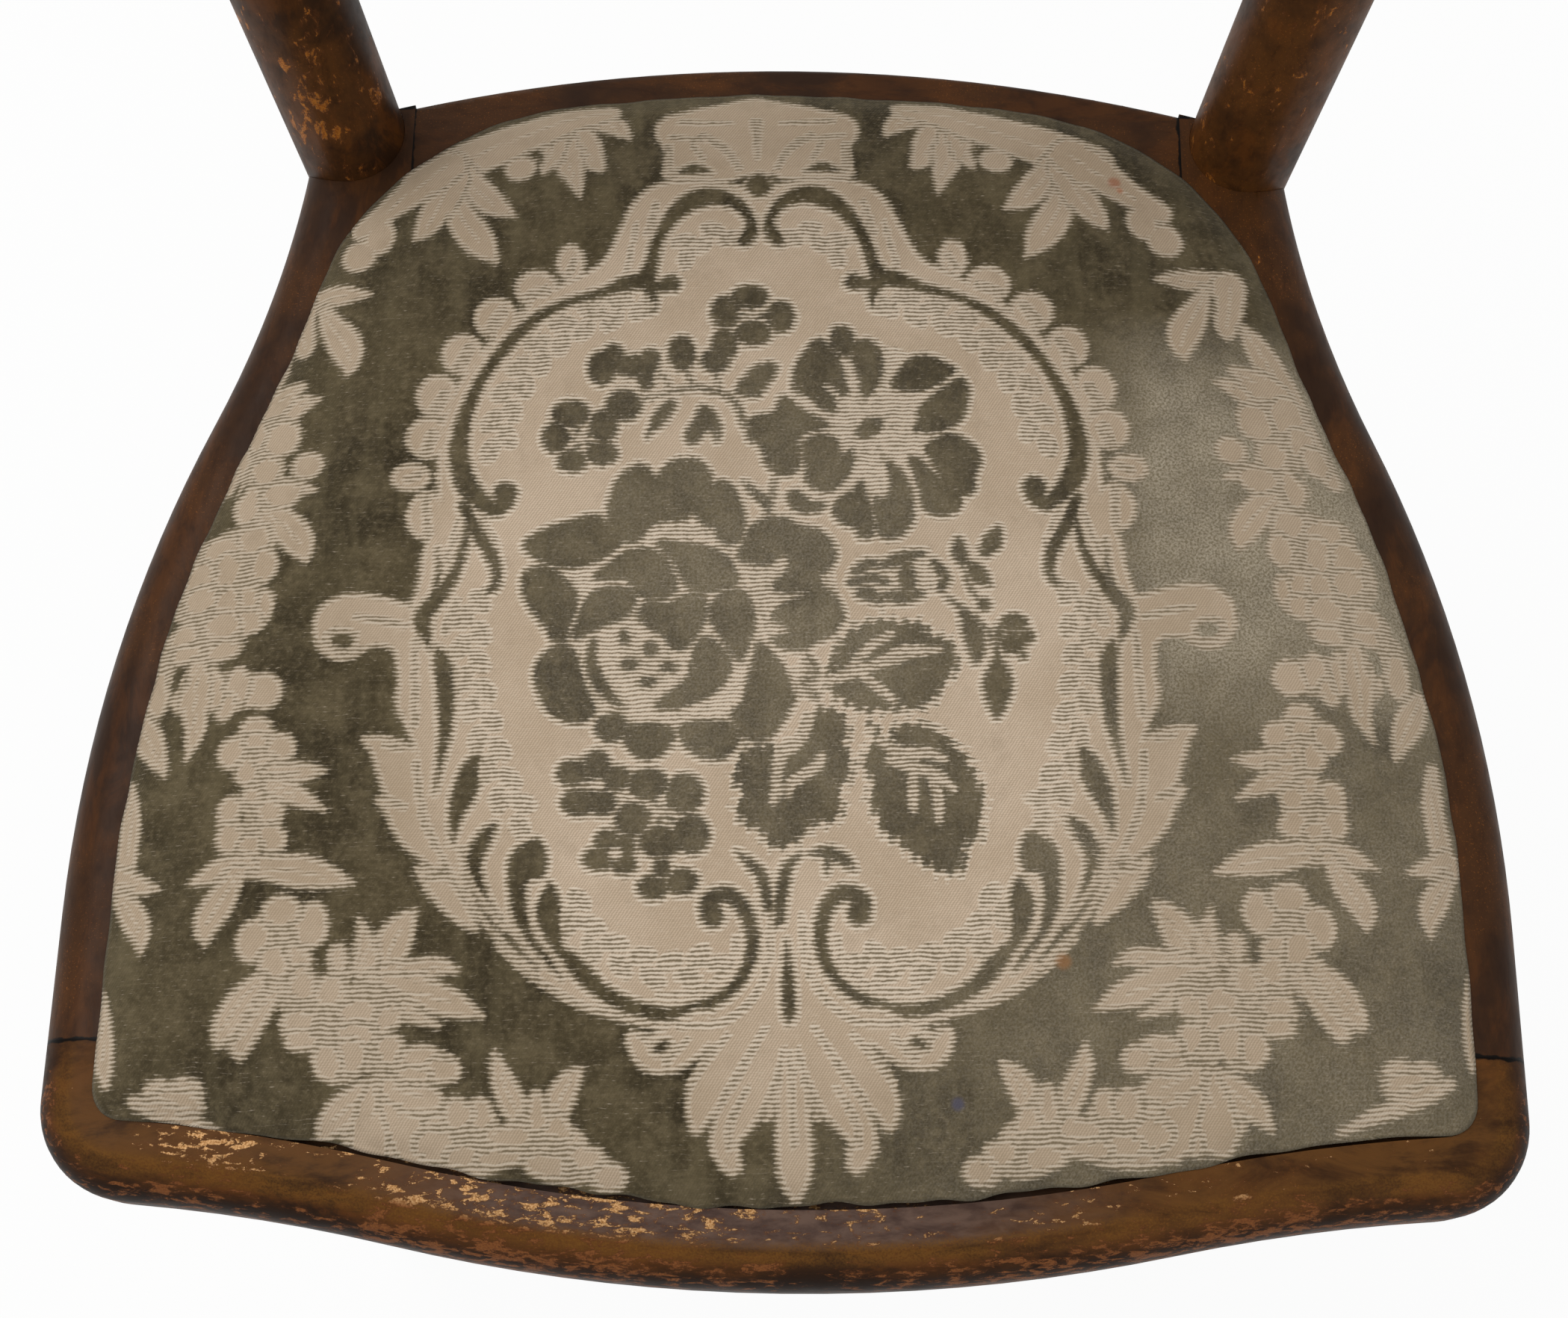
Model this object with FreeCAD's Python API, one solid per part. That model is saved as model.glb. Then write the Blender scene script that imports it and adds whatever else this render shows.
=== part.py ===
import FreeCAD, Part

import math
import os

# Chiavari side chair with a stuffed seat. Millimetres, +Z up, the front of the chair towards -Y.
# Left and right are as seen from in front. The origin is on the floor under the middle of the chair.

V = FreeCAD.Vector

# Overall sizes
SEAT_HEIGHT = 450.0             # floor to the top of the seat frame
BACK_HEIGHT = 438.0             # seat frame to the tips of the rear posts
SEAT_WIDTH = 419.4
SEAT_DEPTH = 379.0

# Seat frame in plan: every edge is a chain of tangent arcs
FRONT_BOW_RADIUS = 533.0        # swell in the middle of the front edge, and the hollow beside it
FRONT_BOW_ANGLE = 12.0          # degrees of swell on each side of the middle
CORNER_RADIUS = 27.0
SIDE_STRAIGHT = 101.7           # front edge to where the sides start to draw in
SIDE_SWELL_RADIUS = 410.0
SIDE_SWELL_ANGLE = 22.0
SIDE_HOLLOW_RADIUS = 340.0
BACK_BOW_RADIUS = 490.0

# Seat frame in section
RAIL_HEIGHT = 36.0
FRONT_RAIL_WIDTH = 48.0
SIDE_RAIL_WIDTH = 42.0
BACK_RAIL_WIDTH = 50.0
INNER_CORNER = 12.0
TOP_ROUND = 15.0                # bullnose of the front and side edges
UNDER_ROUND = 10.0
BACK_EDGE_ROUND = 3.0

# Rebate for the upholstery
FRONT_MARGIN = 21.0             # bare wood in front of the cover
SIDE_MARGIN = 18.0
BACK_MARGIN = 11.0
REBATE_DEPTH = 7.0
REBATE_CORNER = 10.0
REBATE_REAR_ROUND = 90.0

# Rear posts
POST_RADIUS = 17.5
POST_TOP_RADIUS = 12.5
POST_PLAIN = 80.0               # plain stretch above the seat, before the post tapers
POST_INSET = 13.8               # post centre inside the rear corner of the frame
POST_SPLAY = 4.55               # degrees outward
POST_RAKE = 6.0                 # degrees backward
KNEE_HEIGHT = 340.0             # where the post bends back to the floor
KNEE_RADIUS = 300.0
REAR_LEG_SPLAY = 3.0
REAR_LEG_RAKE = 9.0
FOOT_RADIUS = 10.5

# Front legs
LEG_RADIUS = 17.0
LEG_INSET_SIDE = 35.0
LEG_INSET_FRONT = 48.0
LEG_TENON_RADIUS = 9.0
LEG_TENON_LENGTH = 22.0
TENON_WALL = 12.0               # wood left round the tenon inside the frame
JOINT_WALL = 8.0                # wood between the tenon and the joint behind it

# Turned rings
BEAD_WIDTH = 7.0
BEAD_RISE = 1.8
BEAD_OFFSET = 21.0              # a ring each side of every joint in a post or leg

# Stretchers
SIDE_STRETCHER_HEIGHTS = (140.0, 240.0)
FRONT_STRETCHER_HEIGHTS = (190.0, 290.0)
REAR_STRETCHER_HEIGHT = 190.0
STRETCHER_RADIUS = 9.5
STRETCHER_TENON = 6.5
STRETCHER_TAPER = 45.0
STRETCHER_BEAD_GAP = 14.0       # between the two rings of a pair

# Back rails
CREST_DROP = 26.0               # tips of the posts down to the crest rail
GALLERY_HEIGHT = 66.0           # crest rail down to the upper rail
LOWER_RAIL_HEIGHT = 116.0       # seat frame up to the lower rail
BACK_BOW = 20.0
CREST_RADIUS = 11.0
BACK_RAIL_RADIUS = 9.5
BACK_TENON = 7.0
BACK_TAPER = 16.0

# Spindles
SPINDLES = 7
SPINDLE_TENON = 4.0
SPINDLE_RADIUS = 6.5
SPINDLE_TAPER = 60.0
GALLERY_RADIUS = 9.0            # ball of a short spindle
SPINDLE_TIP = 1.6               # tenon tip to the axis of the rail

# Joinery
FIT = 0.1                       # clearance round tenons, dowels and posts
END_GAP = 0.5                   # glue room at the bottom of a hole
TENON_TIP = 2.5                 # tenon tip to the axis of the post or leg
TENON_SHOW = 1.5                # tenon seen outside the post or leg
DOWEL_RADIUS = 4.0
DOWEL_DEPTH = 14.0
DOWEL_SPACING = 14.0
DOWEL_WALL = 5.0
BACK_JOINT_WALL = 3.0           # wood between a post and the back rail's end
SCREW_RADIUS = 2.5
SCREW_LENGTH = 55.0
SCREW_HEAD_RADIUS = 4.6
SCREW_HEAD = 3.5
PLUG_DEPTH = 6.0

# Upholstery
WEB_WIDTH = 50.0
WEB_THICKNESS = 1.5
WEB_PLAY = 0.05
WEB_RAMP = 8.0
WEB_END = 6.0                   # rebate wall to the end of a strap
WEB_ACROSS_PITCH = 74.0         # between the lengthwise straps
WEB_ALONG_PITCH = 82.0          # between the crosswise straps
WEB_ALONG_MIDDLE = -14.0
TACK_EDGE = 5.0
TACK_PITCH = 16.0
TACK_HEAD_RADIUS = 3.5
TACK_HEAD = 0.8
TACK_RADIUS = 0.9
TACK_LENGTH = 11.0
HESSIAN_THICKNESS = 0.8
COVER_THICKNESS = 1.5
COVER_PLAY = 0.3
SEAT_CROWN = 16.0               # middle of the cover above the frame
PAD_RINGS = 6                   # sections between the edge of the pad and its flat top
PAD_TOP = 0.3                   # share of the plan in the flat top
PAD_FULLNESS = 0.7              # 1 is an elliptic crown, less is fuller at the edge

HALF = SEAT_WIDTH / 2
FRONT_Y = -SEAT_DEPTH / 2
BACK_Y = SEAT_DEPTH / 2
RAIL_BOTTOM = SEAT_HEIGHT - RAIL_HEIGHT
REBATE_FLOOR = SEAT_HEIGHT - REBATE_DEPTH
CREST_HEIGHT = BACK_HEIGHT - CREST_DROP
UPPER_RAIL_HEIGHT = CREST_HEIGHT - GALLERY_HEIGHT
REACH = 2 * (SEAT_WIDTH + SEAT_DEPTH + SEAT_HEIGHT)
ORIGIN = V(0, 0, 0)
UP = V(0, 0, 1)


def mirrored(shape):
    return shape.mirror(ORIGIN, V(1, 0, 0))


def line(start, end):
    return Part.LineSegment(start, end).toShape()


def polar(centre, radius, degrees):
    angle = math.radians(degrees)
    return centre + V(radius * math.cos(angle), radius * math.sin(angle), 0)


def heading(start, end):
    return math.degrees(math.atan2(end.y - start.y, end.x - start.x)) % 360


def arc(centre, radius, start, end):
    middle = (start + end) / 2
    ends = [polar(centre, radius, angle) for angle in (start, middle, end)]
    return Part.Arc(*ends).toShape()


def circles_meet(first, first_radius, second, second_radius):
    """The crossing of two circles that lies to the right of the way from the first to the second."""
    way = second - first
    gap = way.Length
    way.normalize()
    along = (first_radius ** 2 - second_radius ** 2 + gap ** 2) / (2 * gap)
    across = math.sqrt(first_radius ** 2 - along ** 2)
    return first + way * along + V(way.y, -way.x, 0) * across


def block(x_range, y_range, z_range):
    size = [high - low for low, high in (x_range, y_range, z_range)]
    return Part.makeBox(*size, V(x_range[0], y_range[0], z_range[0]))


def rod(start, direction, length, radius):
    return Part.makeCylinder(radius, length, start, direction)


# Plan of the seat: centres of the arcs, shared by the frame, the rebate, the cover and the inner edge
FRONT_TURN = 270 + FRONT_BOW_ANGLE
SWELL_CENTRE = V(0, FRONT_Y + FRONT_BOW_RADIUS, 0)
HOLLOW_CENTRE = polar(SWELL_CENTRE, 2 * FRONT_BOW_RADIUS, FRONT_TURN)
SIDE_BEND_Y = FRONT_Y + SIDE_STRAIGHT
SIDE_SWELL_CENTRE = V(HALF - SIDE_SWELL_RADIUS, SIDE_BEND_Y, 0)
SIDE_RADII = SIDE_SWELL_RADIUS + SIDE_HOLLOW_RADIUS
SIDE_HOLLOW_CENTRE = polar(SIDE_SWELL_CENTRE, SIDE_RADII, SIDE_SWELL_ANGLE)
BACK_CENTRE = V(0, BACK_Y - BACK_BOW_RADIUS, 0)
REAR_CORNER = circles_meet(SIDE_HOLLOW_CENTRE, SIDE_HOLLOW_RADIUS, BACK_CENTRE, BACK_BOW_RADIUS)


def right_half(front, side, back, corner, rear):
    """Right half of the seat's outline, moved in by a margin on each edge, from front to back."""
    centre_x = HALF - side - corner
    reach = FRONT_BOW_RADIUS + front + corner
    rise = math.sqrt(reach ** 2 - (centre_x - HOLLOW_CENTRE.x) ** 2)
    corner_centre = V(centre_x, HOLLOW_CENTRE.y + rise, 0)
    side_radius = SIDE_HOLLOW_RADIUS + side
    back_radius = BACK_BOW_RADIUS - back
    rear_centre = circles_meet(SIDE_HOLLOW_CENTRE, side_radius + rear, BACK_CENTRE, back_radius - rear)
    hollow_end = heading(SIDE_HOLLOW_CENTRE, rear_centre)
    back_start = heading(BACK_CENTRE, rear_centre)
    hollow_start = FRONT_TURN - 180
    edges = [
        arc(SWELL_CENTRE, FRONT_BOW_RADIUS - front, 270, FRONT_TURN),
        arc(HOLLOW_CENTRE, FRONT_BOW_RADIUS + front, hollow_start, heading(HOLLOW_CENTRE, corner_centre)),
        arc(corner_centre, corner, heading(corner_centre, HOLLOW_CENTRE), 360),
        line(V(HALF - side, corner_centre.y, 0), V(HALF - side, SIDE_BEND_Y, 0)),
        arc(SIDE_SWELL_CENTRE, SIDE_SWELL_RADIUS - side, 0, SIDE_SWELL_ANGLE),
        arc(SIDE_HOLLOW_CENTRE, side_radius, 180 + SIDE_SWELL_ANGLE, hollow_end),
    ]
    if rear > 0:
        edges.append(arc(rear_centre, rear, hollow_end - 180, back_start))
    edges.append(arc(BACK_CENTRE, back_radius, back_start, 90))
    return edges


def outline(front, side, back, corner, rear):
    right = right_half(front, side, back, corner, rear)
    edges = right + [mirrored(edge) for edge in right]
    return Part.Wire(Part.__sortEdges__(edges))


def prism(wire, bottom, top):
    return Part.Face(wire).translated(V(0, 0, bottom)).extrude(V(0, 0, top - bottom))


def rebate_outline(inset):
    corner = max(REBATE_CORNER - inset, COVER_THICKNESS)
    rear = REBATE_REAR_ROUND - inset
    return outline(FRONT_MARGIN + inset, SIDE_MARGIN + inset, BACK_MARGIN + inset, corner, rear)


def rebate_half_width(y):
    """Half the rebate's width at a depth, on whichever arc of the side lies there."""
    if y < SIDE_BEND_Y:
        return HALF - SIDE_MARGIN
    swell = SIDE_SWELL_RADIUS - SIDE_MARGIN
    if y < SIDE_BEND_Y + swell * math.sin(math.radians(SIDE_SWELL_ANGLE)):
        return SIDE_SWELL_CENTRE.x + math.sqrt(swell ** 2 - (y - SIDE_BEND_Y) ** 2)
    hollow = SIDE_HOLLOW_RADIUS + SIDE_MARGIN
    return SIDE_HOLLOW_CENTRE.x - math.sqrt(hollow ** 2 - (y - SIDE_HOLLOW_CENTRE.y) ** 2)


def rebate_front(x):
    swell = FRONT_BOW_RADIUS - FRONT_MARGIN
    if abs(x) < swell * math.sin(math.radians(FRONT_BOW_ANGLE)):
        return SWELL_CENTRE.y - math.sqrt(swell ** 2 - x ** 2)
    hollow = FRONT_BOW_RADIUS + FRONT_MARGIN
    return HOLLOW_CENTRE.y + math.sqrt(hollow ** 2 - (abs(x) - HOLLOW_CENTRE.x) ** 2)


def rebate_back(x):
    return BACK_CENTRE.y + math.sqrt((BACK_BOW_RADIUS - BACK_MARGIN) ** 2 - x ** 2)


# Places of the legs, posts and frame joints, all on the right side
LEG = V(HALF - LEG_INSET_SIDE, FRONT_Y + LEG_INSET_FRONT, 0)
FRONT_JOINT_Y = LEG.y + LEG_TENON_RADIUS + JOINT_WALL
POST_SEAT = V(REAR_CORNER.x - POST_INSET, REAR_CORNER.y, SEAT_HEIGHT)
POST_UP = V(math.tan(math.radians(POST_SPLAY)), math.tan(math.radians(POST_RAKE)), 1)
BACK_JOINT_X = POST_SEAT.x - POST_RADIUS - BACK_JOINT_WALL


def on_post(height):
    """Point on the upper, straight part of the right post's axis."""
    return POST_SEAT + POST_UP * (height - SEAT_HEIGHT)


KNEE = on_post(KNEE_HEIGHT)
REAR_FOOT = V(
    KNEE.x + KNEE_HEIGHT * math.tan(math.radians(REAR_LEG_SPLAY)),
    KNEE.y + KNEE_HEIGHT * math.tan(math.radians(REAR_LEG_RAKE)),
    0,
)
REAR_LEG_DOWN = (REAR_FOOT - KNEE) * (1 / KNEE_HEIGHT)
KNEE_BEND = math.pi - POST_UP.getAngle(REAR_LEG_DOWN)
KNEE_RUN = KNEE_RADIUS * math.tan(KNEE_BEND / 2)


def unit(vector):
    return V(vector).normalize()


BEND_TOP = KNEE + unit(POST_UP) * KNEE_RUN
BEND_BOTTOM = KNEE + unit(REAR_LEG_DOWN) * KNEE_RUN


def on_rear_leg(height):
    return KNEE + REAR_LEG_DOWN * (KNEE_HEIGHT - height)


def rear_leg_radius(height):
    share = height / BEND_BOTTOM.z
    return FOOT_RADIUS + (POST_RADIUS - FOOT_RADIUS) * share


def post_radius(height):
    start = SEAT_HEIGHT + POST_PLAIN
    share = max(0, (height - start) / (SEAT_HEIGHT + BACK_HEIGHT - start))
    return POST_RADIUS + (POST_TOP_RADIUS - POST_RADIUS) * share


def leg_radius(height):
    return FOOT_RADIUS + (LEG_RADIUS - FOOT_RADIUS) * height / RAIL_BOTTOM


def turned(start, direction, stations, beads=()):
    """Turned piece on an axis: stations are (distance, radius), beads are (distance, width, rise)."""

    def radius_at(distance):
        for (low, low_radius), (high, high_radius) in zip(stations, stations[1:]):
            if low <= distance <= high and high > low:
                return low_radius + (high_radius - low_radius) * (distance - low) / (high - low)
        return stations[-1][1]

    steps = []
    for middle, width, rise in sorted(beads):
        if not steps or middle - width / 2 > steps[-1][1]:
            low = middle - width / 2
            steps.append((low, middle + width / 2, radius_at(low), rise))
    beaded = list(steps)
    for distance, radius in stations:
        if not any(low <= distance <= high for low, high, _, _ in beaded):
            steps.append((distance, distance, radius, 0))
    steps.sort(key=lambda step: step[0])
    first = V(0, 0, stations[0][0])
    tip = V(0, 0, stations[-1][0])
    corner = first
    edges = []
    for low, high, radius, rise in steps:
        point = V(radius, 0, low)
        edges.append(line(corner, point))
        corner = point
        if high > low:
            middle = (low + high) / 2
            corner = V(radius_at(high), 0, high)
            edges.append(Part.Arc(point, V(radius_at(middle) + rise, 0, middle), corner).toShape())
    edges.append(line(corner, tip))
    edges.append(line(tip, first))
    solid = Part.Face(Part.Wire(edges)).revolve(ORIGIN, UP, 360)
    solid.Placement = FreeCAD.Placement(start, FreeCAD.Rotation(UP, direction))
    return solid


def largest(shape):
    return max(shape.Solids, key=lambda solid: solid.Volume)


def cut_all(shape, tools):
    return largest(shape.cut(list(tools)))


def ring_heights(joints):
    """A ring below and above every joint in a post or leg."""
    return [height + side * BEAD_OFFSET for height in joints for side in (-1, 1)]


def rings(distances):
    return [(distance, BEAD_WIDTH, BEAD_RISE) for distance in distances]


# Joints that the tenons make in the legs and posts: every mortise is cut where its tenon lies
LEG_MORTISES = []
POST_MORTISES = []


def mortise(tip, direction, length, radius):
    """Hole for a round tenon whose tip is given, running out of the wood along direction."""
    return rod(tip - unit(direction) * END_GAP, direction, length + END_GAP, radius + FIT)


def stretcher(start, end, start_radius, end_radius):
    """Stretcher between two axes, and the two mortises that its tenons need."""
    way = unit(end - start)
    length = (end - start).Length - 2 * TENON_TIP
    first = start_radius - TENON_TIP + TENON_SHOW
    last = end_radius - TENON_TIP + TENON_SHOW
    stations = [
        (0, STRETCHER_TENON),
        (first, STRETCHER_TENON),
        (first + STRETCHER_TAPER, STRETCHER_RADIUS),
        (length - last - STRETCHER_TAPER, STRETCHER_RADIUS),
        (length - last, STRETCHER_TENON),
        (length, STRETCHER_TENON),
    ]
    middle = (length + first - last) / 2
    ring_run = STRETCHER_BEAD_GAP / 2
    beads = rings([middle - ring_run, middle + ring_run])
    tip = start + way * TENON_TIP
    far_tip = end - way * TENON_TIP
    solid = turned(tip, way, stations, beads)
    holes = [
        mortise(tip, way, 2 * start_radius, STRETCHER_TENON),
        mortise(far_tip, way * -1, 2 * end_radius, STRETCHER_TENON),
    ]
    return solid, holes


def side_stretchers():
    made = {}
    for name, height in zip(("lower", "upper"), SIDE_STRETCHER_HEIGHTS):
        start = V(LEG.x, LEG.y, height)
        end = on_rear_leg(height)
        solid, (front_hole, rear_hole) = stretcher(start, end, leg_radius(height), rear_leg_radius(height))
        LEG_MORTISES.append(front_hole)
        POST_MORTISES.append(rear_hole)
        made[f"side_stretcher_{name}_right"] = solid
        made[f"side_stretcher_{name}_left"] = mirrored(solid)
    return made


def cross_stretcher(end, radius, holes):
    """Stretcher from the left to the right: the holes of the right side go to the given list."""
    solid, (_, right_hole) = stretcher(V(-end.x, end.y, end.z), end, radius, radius)
    holes.append(right_hole)
    return solid


def cross_stretchers():
    made = {}
    for name, height in zip(("lower", "upper"), FRONT_STRETCHER_HEIGHTS):
        end = V(LEG.x, LEG.y, height)
        made[f"front_stretcher_{name}"] = cross_stretcher(end, leg_radius(height), LEG_MORTISES)
    end = on_rear_leg(REAR_STRETCHER_HEIGHT)
    radius = rear_leg_radius(REAR_STRETCHER_HEIGHT)
    made["rear_stretcher"] = cross_stretcher(end, radius, POST_MORTISES)
    return made


class BowedRail:
    """Round back rail, bowed to the rear in plan, with a tapered tenon at each end."""

    def __init__(self, height, radius):
        self.radius = radius
        self.height = SEAT_HEIGHT + height
        end = on_post(self.height)
        self.bow_radius = (end.x ** 2 + BACK_BOW ** 2) / (2 * BACK_BOW)
        self.centre = V(0, end.y + BACK_BOW - self.bow_radius, self.height)
        self.end_angle = math.asin(end.x / self.bow_radius)
        post = post_radius(self.height)
        body_angle = self.end_angle - (post + TENON_SHOW + BACK_TAPER) / self.bow_radius
        body_end = self.point(body_angle)
        way = self.tangent(body_angle)
        tenon_end = (end - body_end).dot(way) - TENON_TIP
        stations = [(0, radius), (BACK_TAPER, BACK_TENON), (tenon_end, BACK_TENON)]
        right_end = turned(body_end, way, stations)
        face = Part.Face(Part.Wire(Part.makeCircle(radius, body_end, way)))
        body = face.revolve(self.centre, UP, math.degrees(2 * body_angle))
        end_rings = [self.ring(side * body_angle) for side in (-1, 1)]
        self.solid = body.fuse([right_end, mirrored(right_end)] + end_rings).removeSplitter()
        tip = body_end + way * tenon_end
        POST_MORTISES.append(mortise(tip, way * -1, 2 * post, BACK_TENON))

    def point(self, angle):
        return self.centre + V(math.sin(angle), math.cos(angle), 0) * self.bow_radius

    def tangent(self, angle):
        return V(math.cos(angle), -math.sin(angle), 0)

    def ring(self, angle):
        return Part.makeTorus(self.radius, BEAD_RISE, self.point(angle), self.tangent(angle))

    def spindle_place(self, index):
        share = 2 * (index + 1) / (SPINDLES + 1) - 1
        return self.point(self.end_angle * share)

    def drill(self, holes):
        self.solid = cut_all(self.solid, holes)


def long_spindle(length, first, last):
    """Stations and rings of a back spindle that swells towards its middle."""
    stations = [
        (0, SPINDLE_TENON),
        (first, SPINDLE_TENON),
        (first + SPINDLE_TAPER, SPINDLE_RADIUS),
        (length - last - SPINDLE_TAPER, SPINDLE_RADIUS),
        (length - last, SPINDLE_TENON),
        (length, SPINDLE_TENON),
    ]
    return stations, rings([first + SPINDLE_TAPER, length - last - SPINDLE_TAPER])


def gallery_spindle(length, first, last):
    """Stations of a short spindle, a straight stem with a ball in its middle."""
    ball_length = 2 * math.sqrt(GALLERY_RADIUS ** 2 - SPINDLE_TENON ** 2)
    ball = ((length + first - last) / 2, ball_length, GALLERY_RADIUS - SPINDLE_TENON)
    return [(0, SPINDLE_TENON), (length, SPINDLE_TENON)], [ball]


def spindle_row(low, high, form):
    """Spindles from one back rail up to the next, each drilled into both rails."""
    solids = []
    low_holes = []
    high_holes = []
    for index in range(SPINDLES):
        start = low.spindle_place(index)
        end = high.spindle_place(index)
        way = unit(end - start)
        length = (end - start).Length - 2 * SPINDLE_TIP
        first = low.radius - SPINDLE_TIP + TENON_SHOW
        last = high.radius - SPINDLE_TIP + TENON_SHOW
        tip = start + way * SPINDLE_TIP
        far_tip = end - way * SPINDLE_TIP
        solids.append(turned(tip, way, *form(length, first, last)))
        low_holes.append(mortise(tip, way, 2 * low.radius, SPINDLE_TENON))
        high_holes.append(mortise(far_tip, way * -1, 2 * high.radius, SPINDLE_TENON))
    low.drill(low_holes)
    high.drill(high_holes)
    return solids


def chair_back():
    crest = BowedRail(CREST_HEIGHT, CREST_RADIUS)
    upper = BowedRail(UPPER_RAIL_HEIGHT, BACK_RAIL_RADIUS)
    lower = BowedRail(LOWER_RAIL_HEIGHT, BACK_RAIL_RADIUS)
    made = {}
    for index, solid in enumerate(spindle_row(lower, upper, long_spindle)):
        made[f"back_spindle_{index + 1}"] = solid
    for index, solid in enumerate(spindle_row(upper, crest, gallery_spindle)):
        made[f"gallery_spindle_{index + 1}"] = solid
    made["crest_rail"] = crest.solid
    made["upper_back_rail"] = upper.solid
    made["lower_back_rail"] = lower.solid
    return made


def front_leg():
    stations = [
        (-LEG_TENON_LENGTH, LEG_TENON_RADIUS),
        (0, LEG_TENON_RADIUS),
        (0, LEG_RADIUS),
        (RAIL_BOTTOM, FOOT_RADIUS),
    ]
    heights = SIDE_STRETCHER_HEIGHTS + FRONT_STRETCHER_HEIGHTS
    distances = [RAIL_BOTTOM - height for height in ring_heights(heights)]
    distances.append(BEAD_WIDTH)
    top = V(LEG.x, LEG.y, RAIL_BOTTOM)
    return cut_all(turned(top, UP * -1, stations, rings(distances)), LEG_MORTISES)


def knee():
    """The bent stretch of a post, between its straight upper part and its straight leg."""
    inward = unit(unit(POST_UP) + unit(REAR_LEG_DOWN))
    centre = KNEE + inward * (KNEE_RADIUS / math.cos(KNEE_BEND / 2))
    axis = (BEND_BOTTOM - centre).cross(BEND_TOP - centre)
    face = Part.Face(Part.Wire(Part.makeCircle(POST_RADIUS, BEND_BOTTOM, REAR_LEG_DOWN * -1)))
    return face.revolve(centre, axis, math.degrees(KNEE_BEND))


def plain_post():
    """Right rear post before its holes: leg, knee, turned upper part and rounded tip."""
    neck = SEAT_HEIGHT + BACK_HEIGHT - POST_TOP_RADIUS

    def above(height):
        return (height - BEND_TOP.z) * POST_UP.Length

    def below(height):
        return (BEND_BOTTOM.z - height) * REAR_LEG_DOWN.Length

    rails = [SEAT_HEIGHT + height for height in (LOWER_RAIL_HEIGHT, UPPER_RAIL_HEIGHT, CREST_HEIGHT)]
    upper_stations = [
        (0, POST_RADIUS),
        (above(SEAT_HEIGHT + POST_PLAIN), POST_RADIUS),
        (above(neck), POST_TOP_RADIUS),
    ]
    upper_rings = rings([above(height) for height in ring_heights(rails) if height < neck - BEAD_WIDTH])
    upper = turned(BEND_TOP, POST_UP, upper_stations, upper_rings)
    tip = Part.makeSphere(POST_TOP_RADIUS, on_post(neck), POST_UP, 0, 90, 360)
    lower_stations = [
        (0, POST_RADIUS),
        (below(0), FOOT_RADIUS),
        (below(-FOOT_RADIUS), FOOT_RADIUS),
    ]
    joints = SIDE_STRETCHER_HEIGHTS + (REAR_STRETCHER_HEIGHT,)
    lower_rings = rings([below(height) for height in ring_heights(joints)])
    lower = turned(BEND_BOTTOM, REAR_LEG_DOWN, lower_stations, lower_rings)
    floor = block((-REACH, REACH), (-REACH, REACH), (-REACH, 0))
    return lower.fuse([knee(), upper, tip]).cut(floor).removeSplitter()


# The screw that holds a post to the end of its side rail comes in from behind, under a wooden plug
SCREW_HEIGHT = (RAIL_BOTTOM + REBATE_FLOOR) / 2
FORWARD = V(0, -1, 0)
SCREW_SEAT = on_post(SCREW_HEIGHT) - FORWARD * (POST_RADIUS - PLUG_DEPTH)


def post_screw():
    head = rod(SCREW_SEAT, FORWARD, SCREW_HEAD, SCREW_HEAD_RADIUS)
    return head.fuse(rod(SCREW_SEAT, FORWARD, SCREW_LENGTH, SCREW_RADIUS)).removeSplitter()


def screw_holes():
    bore_start = SCREW_SEAT + FORWARD * SCREW_HEAD
    bore = rod(bore_start, FORWARD * -1, SCREW_HEAD + 2 * POST_RADIUS, SCREW_HEAD_RADIUS + FIT)
    return [bore, rod(SCREW_SEAT, FORWARD, SCREW_LENGTH + END_GAP, SCREW_RADIUS + FIT)]


def post_and_plug():
    post = plain_post()
    plug = largest(post.common(rod(SCREW_SEAT, FORWARD * -1, 2 * POST_RADIUS, SCREW_HEAD_RADIUS)))
    return cut_all(post, POST_MORTISES + screw_holes()), plug


# Dowels across the frame joints, one above the other
def dowel(middle, direction, length, radius):
    return rod(middle - direction * (length / 2), direction, length, radius)


def dowel_pair(x, y, direction, gap, radius_gap):
    """Two dowels, or with gaps the two holes that they fill."""
    length = 2 * (DOWEL_DEPTH + gap)
    heights = [SCREW_HEIGHT + side * DOWEL_SPACING / 2 for side in (-1, 1)]
    return [dowel(V(x, y, z), direction, length, DOWEL_RADIUS + radius_gap) for z in heights]


def front_dowels(gap=0, radius_gap=0):
    x = LEG.x + LEG_TENON_RADIUS + DOWEL_WALL + DOWEL_RADIUS
    return dowel_pair(x, FRONT_JOINT_Y, V(0, 1, 0), gap, radius_gap)


def back_dowels(gap=0, radius_gap=0):
    y = on_post(RAIL_BOTTOM).y - POST_RADIUS - DOWEL_WALL - DOWEL_RADIUS
    return dowel_pair(BACK_JOINT_X, y, V(1, 0, 0), gap, radius_gap)


# Webbing: three straps each way, passing over and under each other
LENGTHWISE = [index * WEB_ACROSS_PITCH for index in (-1, 0, 1)]
CROSSWISE = [WEB_ALONG_MIDDLE + index * WEB_ALONG_PITCH for index in (-1, 0, 1)]
WEB_LIFT = WEB_THICKNESS + WEB_PLAY


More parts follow.
